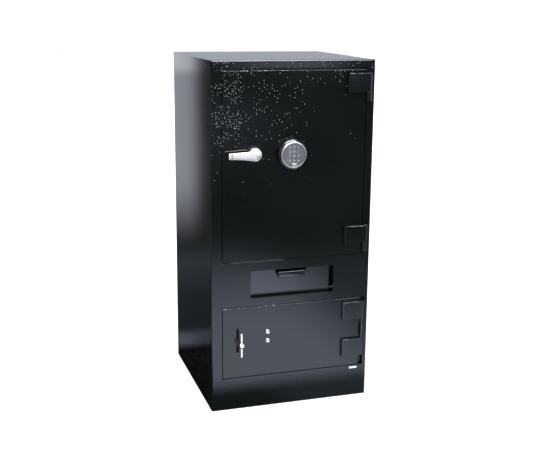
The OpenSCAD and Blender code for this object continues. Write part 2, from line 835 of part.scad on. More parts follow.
// The battery drawer: a tray that slides down out of the housing, with a tab over the ring
module battery_drawer() {
    y = [front_y - drawer_depth[1], front_y - drawer_depth[0]];
    bottom = keypad_z + drawer_low;
    tab_y = [front_y - keypad_out - tab_t - 0.5, front_y - keypad_out - 0.5];
    color(chrome) {
        difference() {
            block([keypad_x - drawer_w / 2, y[0], bottom],
                  [keypad_x + drawer_w / 2, y[1], keypad_z + drawer_top]);
            block([keypad_x - drawer_w / 2 + drawer_wall, y[0] - 1, bottom + drawer_floor],
                  [keypad_x + drawer_w / 2 - drawer_wall, y[1] - 1, keypad_z + drawer_top - drawer_wall]);
        }
        block([keypad_x - tab_w / 2, tab_y[0], bottom], [keypad_x + tab_w / 2, y[0], bottom + tab_t]);
        block([keypad_x - tab_w / 2, tab_y[0], bottom], [keypad_x + tab_w / 2, tab_y[1], bottom + tab_top]);
    }
}

module battery() {
    y = front_y - drawer_depth[1] + rest_gap;
    low = keypad_z + battery_low;
    color([0.2, 0.2, 0.22]) block([keypad_x - battery_w / 2, y, low],
                                  [keypad_x + battery_w / 2, y + battery_t, low + battery_l]);
}

// The key lock's case, with the mouth for its bolt
module lower_lock_case() {
    half = [lock_bolt_t / 2 + rest_gap, lock_bolt_h / 2 + rest_gap];
    color(brass) difference() {
        block([lower_case_x[0], lower_case_y[0], lower_case_z[0]],
              [lower_case_x[1], lower_case_y[1], lower_case_z[1]]);
        block([lower_case_x[0] - 1, bolt_y - half[0], nose_mid - half[1]],
              [lower_case_x[0] + lock_bolt_l + 2, bolt_y + half[0], nose_mid + half[1]]);
    }
}

module lower_lock_bolt() {
    half = [lock_bolt_t / 2, lock_bolt_h / 2];
    color(bright_steel) block([lower_case_x[0], bolt_y - half[0], nose_mid - half[1]],
                              [lower_case_x[0] + lock_bolt_l, bolt_y + half[0], nose_mid + half[1]]);
}

module bar_rosette() {
    color(paint) difference() {
        rod_y(bar_x, bar_z, front_y - bar_rosette_t, front_y, bar_rosette_r);
        rod_y(bar_x, bar_z, front_y - bar_rosette_t - 1, front_y + 1, spindle_r + running);
    }
}

// The bar handle's hub, turned in one piece with its spindle, with the crank at its inner end
module bar_hub() {
    color(chrome) {
        difference() {
            union() {
                rod_y(bar_x, bar_z, front_y - bar_out + 2, front_y - bar_rosette_t - rest_gap, bar_hub_r);
                translate([bar_x, front_y - bar_out + 2, bar_z]) rotate([90, 0, 0])
                    cylinder(r1 = bar_hub_r, r2 = bar_hub_r - 2, h = 2);
            }
            translate([bar_x, front_y - bar_cross, bar_z - bar_hub_r - 1])
                cylinder(r = bar_neck_r + fixed_fit, h = 2 * bar_hub_r + 2);
        }
        rod_y(bar_x, bar_z, front_y - bar_rosette_t - rest_gap - 1, crank_y[1], spindle_r);
        crank(bar_x, bar_z);
    }
}

// The cross bar: two grips joined by a thinner neck through the hub
module bar_rod() {
    low = bar_z - bar_len / 2;
    color(chrome) translate([bar_x, front_y - bar_cross, 0]) {
        translate([0, 0, low]) cylinder(r = bar_neck_r, h = bar_len);
        for (z = [low, low + bar_len - bar_grip]) translate([0, 0, z]) cylinder(r = bar_r, h = bar_grip);
    }
}

// The two key noses, each with a keyhole
module key_noses() {
    color(chrome) for (side = [-1, 1]) {
        z = nose_mid + side * nose_pitch / 2;
        difference() {
            rod_y(nose_x, z, front_y - nose_out, door_back, nose_r);
            rod_y(nose_x, z + 1.4, front_y - nose_out - 1, door_back + 1, 1.9);
            block([nose_x - 1, front_y - nose_out - 1, z - 4], [nose_x + 1, door_back + 1, z + 1.4]);
        }
    }
}

module hopper_face() {
    color(paint) difference() {
        block([face_x[0], face_front, hopper_z[0] + hopper_gap],
              [face_x[1], face_front + face_t, hopper_z[1] - hopper_gap]);
        block([hopper_x - slot_w / 2, face_front - 1, hopper_z[1] - hopper_gap - slot_d],
              [hopper_x + slot_w / 2, face_front + face_t + 1, hopper_z[1]]);
    }
}

module pull_lip() {
    low = hopper_z[1] - hopper_gap - slot_d - lip_h + 4;
    color(paint) union() {
        block([hopper_x - lip_w / 2, face_front - lip_out, low],
              [hopper_x + lip_w / 2, face_front - lip_out + sheet_t, low + lip_h]);
        block([hopper_x - lip_w / 2, face_front - lip_out, low],
              [hopper_x + lip_w / 2, face_front, low + sheet_t]);
    }
}

// The hopper's sloping floor with its two cheeks and pivots
module hopper_tray() {
    back = face_t - 2;
    color(paint) {
        translate([face_x[0], pivot_y, pivot_z]) rotate([-tray_slope, 0, 0])
            block([0, back + 1, -sheet_t], [face_x[1] - face_x[0], tray_len, 0]);
        for (x = [face_x[0], face_x[1] - sheet_t])
            translate([0, pivot_y, pivot_z]) slab_x(x, x + sheet_t) intersection() {
                circle(cheek_r);
                polygon([[back, -1], [cheek_r, -cheek_r * sin(tray_slope) - 1],
                         [cheek_r, cheek_r], [back, cheek_r]]);
            }
        rod_x(pivot_y, pivot_z, hopper_x - hopper_w / 2 - sheet_t - 1, face_x[0], pivot_r);
        rod_x(pivot_y, pivot_z, face_x[1], hopper_x + hopper_w / 2 + sheet_t + 1, pivot_r);
    }
}

left_side();
right_side();
top_plate();
floor_plate();
back_plate();
header_rail();
hopper_panel();
kick_panel();
divider();
door_jambs();
hinge_strip();
hinge_lugs();
hinge_pins();
hopper_housing();
drop_baffle();
shelf_rails();
shelf();
blank_tag();
upper_door_plate();
upper_hinge_leaves();
upper_door_bars();
upper_boltwork_cover();
upper_cover_screws();
upper_lock_case();
swing_bolt();
upper_bolt_carriage();
lever_rosette();
lever_handle();
lever_spindle();
keypad_housing();
keypad_face();
keypad_board();
battery_drawer();
battery();
key(0);  // key_1
key(1);  // key_2
key(2);  // key_3
key(3);  // key_4
key(4);  // key_5
key(5);  // key_6
key(6);  // key_7
key(7);  // key_8
key(8);  // key_9
key(9);  // key_left
key(10);  // key_0
key(11);  // key_right
lower_door_plate();
lower_hinge_leaves();
lower_door_bars();
lower_boltwork_cover();
lower_lock_case();
lower_lock_bolt();
lower_bolt_carriage();
bar_rosette();
bar_hub();
bar_rod();
key_noses();
hopper_face();
hopper_tray();
pull_lip();
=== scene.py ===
import json
import math

import bmesh
import bpy
from mathutils import Matrix, Vector


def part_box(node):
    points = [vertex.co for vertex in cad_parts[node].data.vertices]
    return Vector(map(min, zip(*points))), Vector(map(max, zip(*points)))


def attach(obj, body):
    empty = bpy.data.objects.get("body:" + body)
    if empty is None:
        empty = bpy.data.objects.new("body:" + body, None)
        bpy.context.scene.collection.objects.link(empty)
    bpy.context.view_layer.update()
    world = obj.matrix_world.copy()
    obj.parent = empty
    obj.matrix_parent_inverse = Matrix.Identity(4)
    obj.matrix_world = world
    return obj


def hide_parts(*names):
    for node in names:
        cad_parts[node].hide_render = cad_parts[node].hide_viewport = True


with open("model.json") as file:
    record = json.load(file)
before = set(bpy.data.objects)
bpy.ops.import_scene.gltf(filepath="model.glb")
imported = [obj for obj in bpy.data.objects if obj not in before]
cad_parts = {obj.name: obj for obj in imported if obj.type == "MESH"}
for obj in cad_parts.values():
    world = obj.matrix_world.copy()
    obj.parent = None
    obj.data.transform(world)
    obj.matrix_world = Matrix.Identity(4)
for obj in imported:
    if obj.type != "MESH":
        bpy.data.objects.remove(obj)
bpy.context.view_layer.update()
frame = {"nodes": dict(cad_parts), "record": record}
scene = bpy.context.scene

# The camera of the photograph, from a fit of the cabinet's corners: it stands to the left of the safe,
# a little above it, and looks down at it.
eye = Vector((-0.8755, -2.8078, 1.2139))
yaw = math.radians(17.908)
pitch = math.radians(13.319)
roll = math.radians(0.602)
lens_mm = 59.68
ahead = Vector((math.sin(yaw) * math.cos(pitch), math.cos(yaw) * math.cos(pitch), -math.sin(pitch)))
level = Vector((math.cos(yaw), -math.sin(yaw), 0))
over = level.cross(ahead)
across = level * math.cos(roll) + over * math.sin(roll)
up = over * math.cos(roll) - level * math.sin(roll)
camera = bpy.data.objects.new("camera", bpy.data.cameras.new("camera"))
camera.data.lens = lens_mm
camera.data.clip_end = 50
camera.matrix_world = Matrix.Translation(eye) @ Matrix((across, up, -ahead)).transposed().to_4x4()
scene.collection.objects.link(camera)
scene.camera = camera


# The floor of the studio is a wide sheet of white paper, lit from below, so that the object stands on
# white. The enamel doesn't mirror it: what it mirrors is set apart, in the next three sections.
paper_white = 0.97
paper_rough = 0.9
paper_glow = 0.4
fibre_scale = 6.0
floor_corners = ((-20, -20), (20, 20))


def new_material(name):
    """A new material with its node tree and its main shader."""
    material = bpy.data.materials.new(name)
    material.use_nodes = True
    return material, material.node_tree, material.node_tree.nodes["Principled BSDF"]


def add_node(tree, kind, **sockets):
    """A node of that kind, with the sockets that are given set."""
    node = tree.nodes.new("ShaderNode" + kind)
    for socket, value in sockets.items():
        node.inputs[socket].default_value = value
    return node


def tones(tree, value, dark, pale, low=0.0, high=1.0):
    """A colour that goes from dark to pale as the value rises from low to high."""
    ramp = add_node(tree, "ValToRGB")
    for end, place, colour in zip(ramp.color_ramp.elements, (low, high), (dark, pale)):
        end.position = place
        end.color = (*colour, 1)
    tree.links.new(value, ramp.inputs["Fac"])
    return ramp.outputs["Color"]


def studio_sheet(name, material, low, high, height):
    """A flat sheet of the studio, which isn't part of the object."""
    mesh = bpy.data.meshes.new(name)
    corners = [(low[0], low[1]), (high[0], low[1]), (high[0], high[1]), (low[0], high[1])]
    mesh.from_pydata([(x, y, height) for x, y in corners], [], [(0, 1, 2, 3)])
    mesh.materials.append(material)
    sheet = bpy.data.objects.new(name, mesh)
    scene.collection.objects.link(sheet)
    return sheet


paper, tree, shader = new_material("studio_paper")
shader.inputs["Roughness"].default_value = paper_rough
shader.inputs["Emission Color"].default_value = (1, 1, 1, 1)
shader.inputs["Emission Strength"].default_value = paper_glow
fibres = add_node(tree, "TexNoise", Scale=fibre_scale).outputs["Fac"]
thin_spot = (paper_white - 0.005, paper_white - 0.005, paper_white)
thick_spot = (paper_white + 0.01, paper_white + 0.01, paper_white + 0.015)
tree.links.new(tones(tree, fibres, thin_spot, thick_spot), shader.inputs["Base Color"])
studio_floor = studio_sheet("studio_floor", paper, *floor_corners, 0)
studio_floor.visible_glossy = False


# In the enamel's reflections, a patch of the floor in front of the safe is lit. It starts a hand's width
# from the safe, fades away from it and to the right, and a fainter light lies at its foot.
safe_front = -0.254
sheet_height = 0.0005
patch_corners = ((-1.2, safe_front - 2.6), (1.2, safe_front - 0.004))
floor_tint = (0.89, 1.01, 1.28, 1)
patch_glow = 1.85
patch_left_over = 0.2
patch_x = (0.2, 0.64)
patch_near = (0.09, 0.26)
patch_far = (0.55, 2.25)
foot_glow = 0.22
foot_x = (-0.12, 0.08)


def calc(tree, operation, first, second=0.0):
    """The result of a math node on two outputs or numbers."""
    node = add_node(tree, "Math")
    node.operation = operation
    for socket, value in zip(node.inputs, (first, second)):
        if isinstance(value, (int, float)):
            socket.default_value = value
        else:
            tree.links.new(value, socket)
    return node.outputs[0]


def total(tree, *values):
    """All the values added."""
    result = values[0]
    for value in values[1:]:
        result = calc(tree, "ADD", result, value)
    return result


def product(tree, *values):
    """All the values multiplied."""
    result = values[0]
    for value in values[1:]:
        result = calc(tree, "MULTIPLY", result, value)
    return result


def rise(tree, value, low, high):
    """0 where the value is under low, 1 where it is over high, and a smooth rise between them."""
    node = add_node(tree, "MapRange")
    node.interpolation_type = "SMOOTHSTEP"
    node.inputs["From Min"].default_value = low
    node.inputs["From Max"].default_value = high
    tree.links.new(value, node.inputs["Value"])
    return node.outputs["Result"]


def fall(tree, value, low, high):
    """1 where the value is under low, and a smooth fall to 0 at high."""
    return calc(tree, "SUBTRACT", 1.0, rise(tree, value, low, high))


def place_in(tree, space="Object"):
    """The place of a point in that space, and its X, Y and Z."""
    where = add_node(tree, "TexCoord").outputs[space]
    axes = add_node(tree, "SeparateXYZ")
    tree.links.new(where, axes.inputs["Vector"])
    return where, *axes.outputs


def joined_shaders(tree, kind, *inputs):
    """The shaders that are given, added or mixed."""
    node = add_node(tree, kind)
    for value, socket in zip(inputs, node.inputs):
        tree.links.new(value, socket)
    return node.outputs["Shader"]


def glow_sheet(name, material, tree, shader, surface, low, high):
    """A sheet on the floor that only reflections show."""
    tree.links.new(surface, tree.nodes["Material Output"].inputs["Surface"])
    tree.nodes.remove(shader)
    material.cycles.emission_sampling = "NONE"
    sheet = studio_sheet(name, material, low, high, sheet_height)
    sheet.visible_camera = False
    sheet.visible_diffuse = False
    sheet.visible_shadow = False


lit_patch, tree, shader = new_material("lit_patch_of_floor")
_, aside, back_along, _ = place_in(tree)
out_front = calc(tree, "SUBTRACT", safe_front, back_along)
to_right = total(tree, patch_left_over, product(tree, 1 - patch_left_over, fall(tree, aside, *patch_x)))
glow = product(
    tree, patch_glow, to_right, fall(tree, out_front, *patch_far), rise(tree, out_front, *patch_near)
)
at_foot = product(tree, foot_glow, rise(tree, aside, *foot_x), fall(tree, out_front, *patch_near))
emission = add_node(tree, "Emission", Color=floor_tint)
tree.links.new(total(tree, glow, at_foot), emission.inputs["Strength"])
clear = add_node(tree, "BsdfTransparent").outputs["BSDF"]
surface = joined_shaders(tree, "AddShader", emission.outputs["Emission"], clear)
glow_sheet("lit_patch", lit_patch, tree, shader, surface, *patch_corners)


# On the left of the safe, the enamel of its side mirrors a narrow lit stripe across the floor, and behind
# it a dim grey that gets lighter far back.
stripe_corners = ((-1.4, -0.6), (-0.256, 2.4))
stripe_glow = 0.08
stripe_y = (0.28, 0.37, 0.42, 0.52)
stripe_x = (-0.4, -0.29)
near_grey = 0.028
far_grey = 0.075
far_y = (0.75, 1.8)
clear_y = (1.3, 1.9)


def band(tree, value, start, full, fade, end):
    """1 between full and fade, with a smooth rise from start and a smooth fall to end."""
    return product(tree, rise(tree, value, start, full), fall(tree, value, fade, end))


lit_stripe, tree, shader = new_material("lit_stripe_of_floor")
_, aside, back_along, _ = place_in(tree)
near_side = total(tree, stripe_glow, product(tree, stripe_glow, rise(tree, aside, *stripe_x)))
emission = add_node(tree, "Emission", Color=floor_tint)
strength = total(
    tree,
    product(tree, band(tree, back_along, *stripe_y), near_side),
    product(tree, near_grey, rise(tree, back_along, *stripe_y[:2])),
    product(tree, far_grey, rise(tree, back_along, *far_y)),
)
tree.links.new(strength, emission.inputs["Strength"])
clear = add_node(tree, "BsdfTransparent").outputs["BSDF"]
clear_share = rise(tree, back_along, *clear_y)
surface = joined_shaders(tree, "MixShader", clear_share, emission.outputs["Emission"], clear)
glow_sheet("lit_stripe", lit_stripe, tree, shader, surface, *stripe_corners)


# The room gives soft white light from all round. In its place the enamel mirrors haze and a wall at the
# horizon in front, an upper wall, softboxes overhead and on both sides, and a pale backdrop behind.
soft_light = 1.16
room_glow = 0.02
backdrop_tint = (0.95, 1.0, 1.13, 1)
backdrop_glow = 0.71
backdrop_dimmed = 0.24
backdrop_band = 0.74
front_fade = 0.05


def blend(tree, factor, first, second):
    """A colour that is the first where the factor is 0 and the second where it is 1."""
    node = add_node(tree, "Mix")
    node.data_type = "RGBA"
    for socket, value in (("Factor", factor), ("A", first), ("B", second)):
        if isinstance(value, tuple):
            node.inputs[socket].default_value = value
        else:
            tree.links.new(value, node.inputs[socket])
    return node.outputs["Result"]


def lit_field(strength, heights, turns, *limits):
    """A lit field of the room. Heights are degrees over the horizon and turns are degrees to the right of
    straight in front: where the field starts, is full, starts to fade and ends."""
    return product(room, strength, *limits, band(room, lift, *heights), band(room, turn, *turns))


world = bpy.data.worlds.new("studio_room")
scene.world = world
world.use_nodes = True
room = world.node_tree
_, east, north, height = place_in(room, "Generated")
south = calc(room, "MULTIPLY", north, -1.0)
west = calc(room, "MULTIPLY", east, -1.0)
lift = calc(room, "DEGREES", calc(room, "ARCSINE", height))
turn = calc(room, "DEGREES", calc(room, "ARCTAN2", east, south))
back_turn = calc(room, "DEGREES", calc(room, "ARCTAN2", west, north))
in_front = rise(room, south, -front_fade, front_fade)
behind = fall(room, south, -front_fade, front_fade)
haze = lit_field(0.28, (-11, -7, -6.6, -4.8), (-200, -190, 14.5, 20), in_front)
wall = lit_field(1.25, (-3.4, -2.4, 8, 11), (13.5, 18, 20.6, 22.6), in_front)
upper_wall = lit_field(1.45, (6, 10, 38, 45), (-80, -60, 60, 80), in_front)
overhead = lit_field(40.0, (45, 48, 72, 75), (-55, -45, 45, 55))
left_box = lit_field(0.5, (-28, -20, 10, 20), (-112, -95, -65, -52))
right_box = lit_field(0.9, (-25, -8, 20, 35), (50, 75, 105, 135))
dimmer_above = calc(room, "SUBTRACT", backdrop_glow, product(room, backdrop_dimmed, rise(room, lift, -2, 3)))
bright_band = total(room, 1.0, product(room, backdrop_band, band(room, lift, -4.2, -3.5, -2.6, -1.6)))
backdrop_side = fall(room, back_turn, 12.3, 13.35)
backdrop_foot = rise(room, lift, -15.0, -9.8)
backdrop = product(room, dimmer_above, bright_band, behind, backdrop_side, backdrop_foot)
glow = total(room, room_glow, haze, wall, upper_wall, overhead, left_box, right_box, backdrop)
mirrored = room.nodes["Background"]
tint = blend(room, calc(room, "MAXIMUM", behind, rise(room, lift, -2, 5)), floor_tint, backdrop_tint)
room.links.new(tint, mirrored.inputs["Color"])
room.links.new(glow, mirrored.inputs["Strength"])
white_light = add_node(room, "Background", Color=(1, 1, 1, 1), Strength=soft_light).outputs["Background"]
seen = add_node(room, "Background", Color=(1, 1, 1.005, 1), Strength=1.0).outputs["Background"]
rays = add_node(room, "LightPath").outputs
soft_or_mirrored = joined_shaders(
    room, "MixShader", rays["Is Glossy Ray"], white_light, mirrored.outputs["Background"]
)
whole_room = joined_shaders(room, "MixShader", rays["Is Camera Ray"], soft_or_mirrored, seen)
room.links.new(whole_room, room.nodes["World Output"].inputs["Surface"])
scene.view_settings.view_transform = "Standard"


# The cabinet is a box of 6 mm steel plate, with its front corners bent. The rails, the panel round the
# hopper, the kick panel and the strip beside the upper door are welded in and ground flush, and all of
# it is sprayed with black gloss enamel, whose slow ripple breaks a lamp's reflection into glints.
shell_parts = (
    "left_side",
    "right_side",
    "top_plate",
    "back_plate",
    "floor_plate",
    "header_rail",
    "hopper_panel",
    "kick_panel",
    "hinge_strip",
)
nodes = frame["nodes"]
record = frame["record"]
body_of = {name: body for body, members in record["behaviour"]["bodies"].items() for name in members}
slot_of = {part["node"]: part["material_slot"] for part in record["subparts"]}
header_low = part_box("header_rail")[0].z
header_lean = math.tan(math.radians(2.0))
header_front_t = 0.0045
panel_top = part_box("hopper_panel")[1].z
panel_edge = 0.0018
panel_edge_skin = 0.002
close_by = 1e-4
enamel_dark = (0.0046, 0.0058, 0.0054)
enamel_pale = (0.0068, 0.0082, 0.0080)
speck_pitch = 0.0078
speck_scatter = 0.9
speck_r = 0.125
speck_h = 0.0002
painted_glint_grey = (0.86, 0.88, 0.91, 1)
speck_group = 0.04
group_edge = (0.36, 0.6)
# How many specks there are: the share, the heights over which it grows, and the span in X.
specks_left = (0.9, (0.79, 0.85), (-0.252, -0.236, -0.185, -0.15))
specks_middle = (0.34, (0.79, 0.9), (-0.12, 0.1))
specks_top = (0.3, (0.97, 1.02), (-0.1, 0.1))
specks_below = (0.02, (0.64, 0.78))
faintest_painted_glint = 0.25
stroke_scale = 62.0
stroke_edge = 0.05
highlight_fade = 0.02


def noise(tree, where, scale, detail):
    """A cloudy noise from 0 to 1."""
    node = add_node(tree, "TexNoise", Scale=scale, Detail=detail)
    tree.links.new(where, node.inputs["Vector"])
    return node.outputs["Fac"]


def bumped(tree, height, depth, normal=None):
    """A surface that the height raises by up to that depth."""
    node = add_node(tree, "Bump", Distance=depth)
    tree.links.new(height, node.inputs["Height"])
    if normal is not None:
        tree.links.new(normal, node.inputs["Normal"])
    return node.outputs["Normal"]


def spread(tree, value, low, high):
    """A value from 0 to 1 spread from low to high."""
    node = add_node(tree, "MapRange")
    node.inputs["To Min"].default_value = low
    node.inputs["To Max"].default_value = high
    tree.links.new(value, node.inputs["Value"])
    return node.outputs["Result"]


def speck_share(tree, flat, aside, high):
    """How large a share of the places for a speck has one. Most are near the top left corner."""
    left = product(
        tree, specks_left[0], rise(tree, high, *specks_left[1]), band(tree, aside, *specks_left[2])
    )
    middle = product(
        tree, specks_middle[0], rise(tree, high, *specks_middle[1]), fall(tree, aside, *specks_middle[2])
    )
    top = product(tree, specks_top[0], rise(tree, high, *specks_top[1]), rise(tree, aside, *specks_top[2]))
    below = product(tree, specks_below[0], rise(tree, high, *specks_below[1]))
    in_groups = rise(tree, noise(tree, flat, 1 / speck_group, 1.0), *group_edge)
    return product(tree, total(tree, left, middle, top, below), in_groups)


def enamel(
    name, ripple=0.012, ripple_depth=0.00003, gloss=0.08, nibs_with_painted_glints=False, painted_highlight_to=None, dash_gap_share=0.53, highlight_grey=0.5
):
    """Black gloss enamel with a slow ripple that many metres long. Where nibs_with_painted_glints is set,
    raised nibs stand in it, with pale grey painted on them as painted glints.
    With painted_highlight_to, light grey dashes are painted on up to that X as a painted highlight, more of
    them where dash_gap_share is low."""
    material, tree, shader = new_material(name)
    where, aside, _, high = place_in(tree)
    normal = bumped(tree, noise(tree, where, 1 / ripple, 1.0), ripple_depth)
    cloud = noise(tree, where, 5.0, 4.0)
    colour = tones(tree, cloud, enamel_dark, enamel_pale, 0.3, 0.7)
    if nibs_with_painted_glints:
        flat = add_node(tree, "CombineXYZ")
        tree.links.new(aside, flat.inputs["X"])
        tree.links.new(high, flat.inputs["Y"])
        flat = flat.outputs["Vector"]
        specks = add_node(tree, "TexVoronoi", Scale=1 / speck_pitch, Randomness=speck_scatter)
        specks.voronoi_dimensions = "2D"
        tree.links.new(flat, specks.inputs["Vector"])
        chance = add_node(tree, "SeparateColor")
        tree.links.new(specks.outputs["Color"], chance.inputs["Color"])
        kept = calc(tree, "LESS_THAN", chance.outputs["Red"], speck_share(tree, flat, aside, high))
        raised = product(tree, kept, fall(tree, specks.outputs["Distance"], speck_r * 0.5, speck_r))
        normal = bumped(tree, raised, speck_h, normal)
        # Pale grey is painted on the nibs as painted glints.
        painted_glint = product(tree, raised, total(tree, faintest_painted_glint, chance.outputs["Green"]))
        colour = blend(tree, painted_glint, colour, painted_glint_grey)
    if painted_highlight_to is not None:
        # Light grey dashes, painted on as a painted highlight.
        strokes = rise(tree, noise(tree, where, stroke_scale, 2.0), dash_gap_share, dash_gap_share + stroke_edge)
        painted_dashes = product(tree, strokes, fall(tree, aside, painted_highlight_to - highlight_fade, painted_highlight_to))
        colour = blend(tree, painted_dashes, colour, (highlight_grey, highlight_grey * 1.04, highlight_grey * 1.1, 1))
    tree.links.new(normal, shader.inputs["Normal"])
    tree.links.new(colour, shader.inputs["Base Color"])
    tree.links.new(spread(tree, cloud, gloss * 0.8, gloss * 1.3), shader.inputs["Roughness"])
    return material


def bare_copy(*names):
    """The shapes of CAD nodes in one bmesh, with the corners that their faces share joined."""
    shape = bmesh.new()
    for name in names:
        shape.from_mesh(nodes[name].data)
    bmesh.ops.remove_doubles(shape, verts=shape.verts, dist=1e-5)
    return shape


def whole_faces(shape):
    """Joins the triangles that lie in one plane."""
    bmesh.ops.remove_doubles(shape, verts=shape.verts, dist=1e-5)
    bmesh.ops.dissolve_limit(shape, angle_limit=math.radians(0.3), verts=shape.verts, edges=shape.edges)
    return shape


def split(shape, point, normal):
    """Splits the faces that a plane crosses, and keeps both sides."""
    geometry = shape.verts[:] + shape.edges[:] + shape.faces[:]
    bmesh.ops.bisect_plane(shape, geom=geometry, plane_co=point, plane_no=normal, dist=1e-6)


def ease(shape, width, where=None, segments=2):
    """Rounds the sharp edges of a shape, or those of them that where picks."""
    sharp = [
        edge
        for edge in shape.edges
        if edge.is_manifold and edge.calc_face_angle() > math.radians(35) and (where is None or where(edge))
    ]
    bmesh.ops.bevel(
        shape, geom=sharp, offset=width, segments=segments, profile=0.5, affect="EDGES", clamp_overlap=True
    )
    return shape


def combined(first, second, operation):
    """Two shapes joined or cut by a boolean, as a new shape."""
    pair = []
    for shape in (first, second):
        mesh = bpy.data.meshes.new("in_work")
        shape.to_mesh(mesh)
        shape.free()
        thing = bpy.data.objects.new("in_work", mesh)
        scene.collection.objects.link(thing)
        pair.append(thing)
    modifier = pair[0].modifiers.new("combined", "BOOLEAN")
    modifier.operation = operation
    modifier.solver = "EXACT"
    modifier.object = pair[1]
    result = bmesh.new()
    result.from_object(pair[0], bpy.context.evaluated_depsgraph_get())
    for thing in pair:
        bpy.data.meshes.remove(thing.data)
    return result


def face_finish(shape, index, where):
    """Gives the faces that where picks the finish at that place in the piece's list of materials."""
    for face in shape.faces:
        if where(face, face.calc_center_median()):
            face.material_index = index


def make(name, shape, materials, body, slot, *stands_for, flat_faces=True):
    """A piece of the object from a shape. Flat faces keep their shading right up to their eased edges."""
    bmesh.ops.recalc_face_normals(shape, faces=shape.faces)
    mesh = bpy.data.meshes.new(name)
    shape.to_mesh(mesh)
    shape.free()
    for material in materials if isinstance(materials, (list, tuple)) else [materials]:
        mesh.materials.append(material)
    mesh.shade_smooth()
    if not flat_faces:
        mesh.set_sharp_from_angle(angle=math.radians(38))
    thing = bpy.data.objects.new(name, mesh)
    scene.collection.objects.link(thing)
    if flat_faces:
        thing.modifiers.new("face_shading", "WEIGHTED_NORMAL").weight = 90
    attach(thing, body)
    if stands_for:
        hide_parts(*stands_for)
    return thing


# The front enamel carries pale painted glints on its nibs, most of them near the top left corner.
front_enamel = enamel("front_enamel", nibs_with_painted_glints=True)
side_enamel = enamel("side_enamel", ripple=0.03, ripple_depth=0.000008, gloss=0.05)
panel_edge_highlight_enamel = enamel("panel_edge_highlight_enamel", gloss=0.4, painted_highlight_to=-0.02, dash_gap_share=0.34, highlight_grey=0.88)
shell = bare_copy(shell_parts[0])
for name in shell_parts[1:]:
    shell = combined(shell, bare_copy(name), "UNION")
whole_faces(shell)
split(shell, (0, 0, header_low), (0, 0, 1))
for vertex in shell.verts:
    if vertex.co.z > header_low and vertex.co.y < safe_front + header_front_t:
        vertex.co.y += (vertex.co.z - header_low) * header_lean
ease(
    shell,
    panel_edge,
    where=lambda edge: all(
        abs(v.co.z - panel_top) < close_by and v.co.y < safe_front + close_by for v in edge.verts
    ),
)
ease(shell, 0.0009)
bmesh.ops.recalc_face_normals(shell, faces=shell.faces)
face_finish(shell, 1, lambda face, middle: abs(face.normal.y) < 0.7 or middle.y > 0)
# The hopper panel's upward top edge carries light grey dashes, a painted highlight.
face_finish(
    shell,
    2,
    lambda face, middle: abs(middle.z - panel_top) < panel_edge_skin
    and middle.y < safe_front + panel_edge_skin
    and face.normal.z > 0.2,
)
make(
    "welded_shell",
    shell,
    [front_enamel, side_enamel, panel_edge_highlight_enamel],
    "cabinet",
    "black_enamel",
    *shell_parts,
)


# Inside, the divider, the strips that the doors shut against, the hopper's housing with its toothed
# baffle and the shelf's angle rails are folded and cut sheet steel, welded in and painted with the rest.
inside_enamel = enamel("inside_enamel", ripple_depth=0.0001, gloss=0.22)


def dressed(name, material, width, segments=2):
    """A CAD node's own shape with its edges eased, in its own place."""
    shape = ease(whole_faces(bare_copy(name)), width, segments=segments)
    return make(name + "_eased", shape, material, body_of[name], slot_of[name], name)


dressed("divider", inside_enamel, 0.0008)
dressed("door_jambs", inside_enamel, 0.0008)
dressed("hopper_housing", inside_enamel, 0.0008)
dressed("drop_baffle", inside_enamel, 0.0004)
dressed("shelf_rails", inside_enamel, 0.0006)


# Fillet welds hold the divider to the sides and the strips to the cabinet: short beads with the ripple
# that each step of the rod leaves, painted over.
bead_r = 0.0032
bead_step = 0.0019
bead_points = 7
bead_ripple = 0.09
bead_sunk = 0.0004
bead_bow = 0.0006
bead_start = 0.25
bead_growth = 2.5 / 6
weld_count = 5
# Where the first weld of a row starts, how far the next one is, and how long each is.
side_welds = (0.03, 0.1, 0.045)
back_welds = (0.05, 0.08, 0.04)


def weld_bead(shape, start, end, first_wall, second_wall):
    """Adds a quarter-round bead from start to end in the corner between two walls."""
    start, end = Vector(start), Vector(end)
    along = (end - start).normalized()
    count = int((end - start).length / (bead_step / 2))
    rows = []
    for i in range(count + 1):
        grown = min(1.0, bead_start + bead_growth * min(i, count - i))
        radius = bead_r * grown * (1.0 + bead_ripple * math.cos(math.pi * i))
        middle = start + along * (bead_step / 2 * i)
        row = [middle + first_wall * -bead_sunk + second_wall * -bead_sunk]
        for j in range(bead_points):
            angle = math.pi / 2 * j / (bead_points - 1)
            row.append(
                middle
                + first_wall * (radius * math.cos(angle) - bead_sunk / 2)
                + second_wall * (radius * math.sin(angle) - bead_sunk / 2)
                + along * (bead_bow * math.sin(2 * angle))
            )
        rows.append([shape.verts.new(point) for point in row])
    for first, second in zip(rows, rows[1:]):
        for j in range(len(first)):
            k = (j + 1) % len(first)
            shape.faces.new((first[j], first[k], second[k], second[j]))
    shape.faces.new(rows[0])
    shape.faces.new(list(reversed(rows[-1])))


divider_low, divider_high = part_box("divider")
weld_z = divider_low.z
down = Vector((0, 0, -1))
welds = bmesh.new()
for i in range(weld_count):
    near = divider_low.y + side_welds[0] + side_welds[1] * i
    far = near + side_welds[2]
    for x, inward in ((divider_low.x, Vector((1, 0, 0))), (divider_high.x, Vector((-1, 0, 0)))):
        weld_bead(welds, (x, near, weld_z), (x, far, weld_z), inward, down)
    left = divider_low.x + back_welds[0] + back_welds[1] * i
    right = left + back_welds[2]
    back = divider_high.y
    weld_bead(welds, (left, back, weld_z), (right, back, weld_z), Vector((0, -1, 0)), down)
make("divider_welds", welds, inside_enamel, "cabinet", "black_enamel", flat_faces=False)


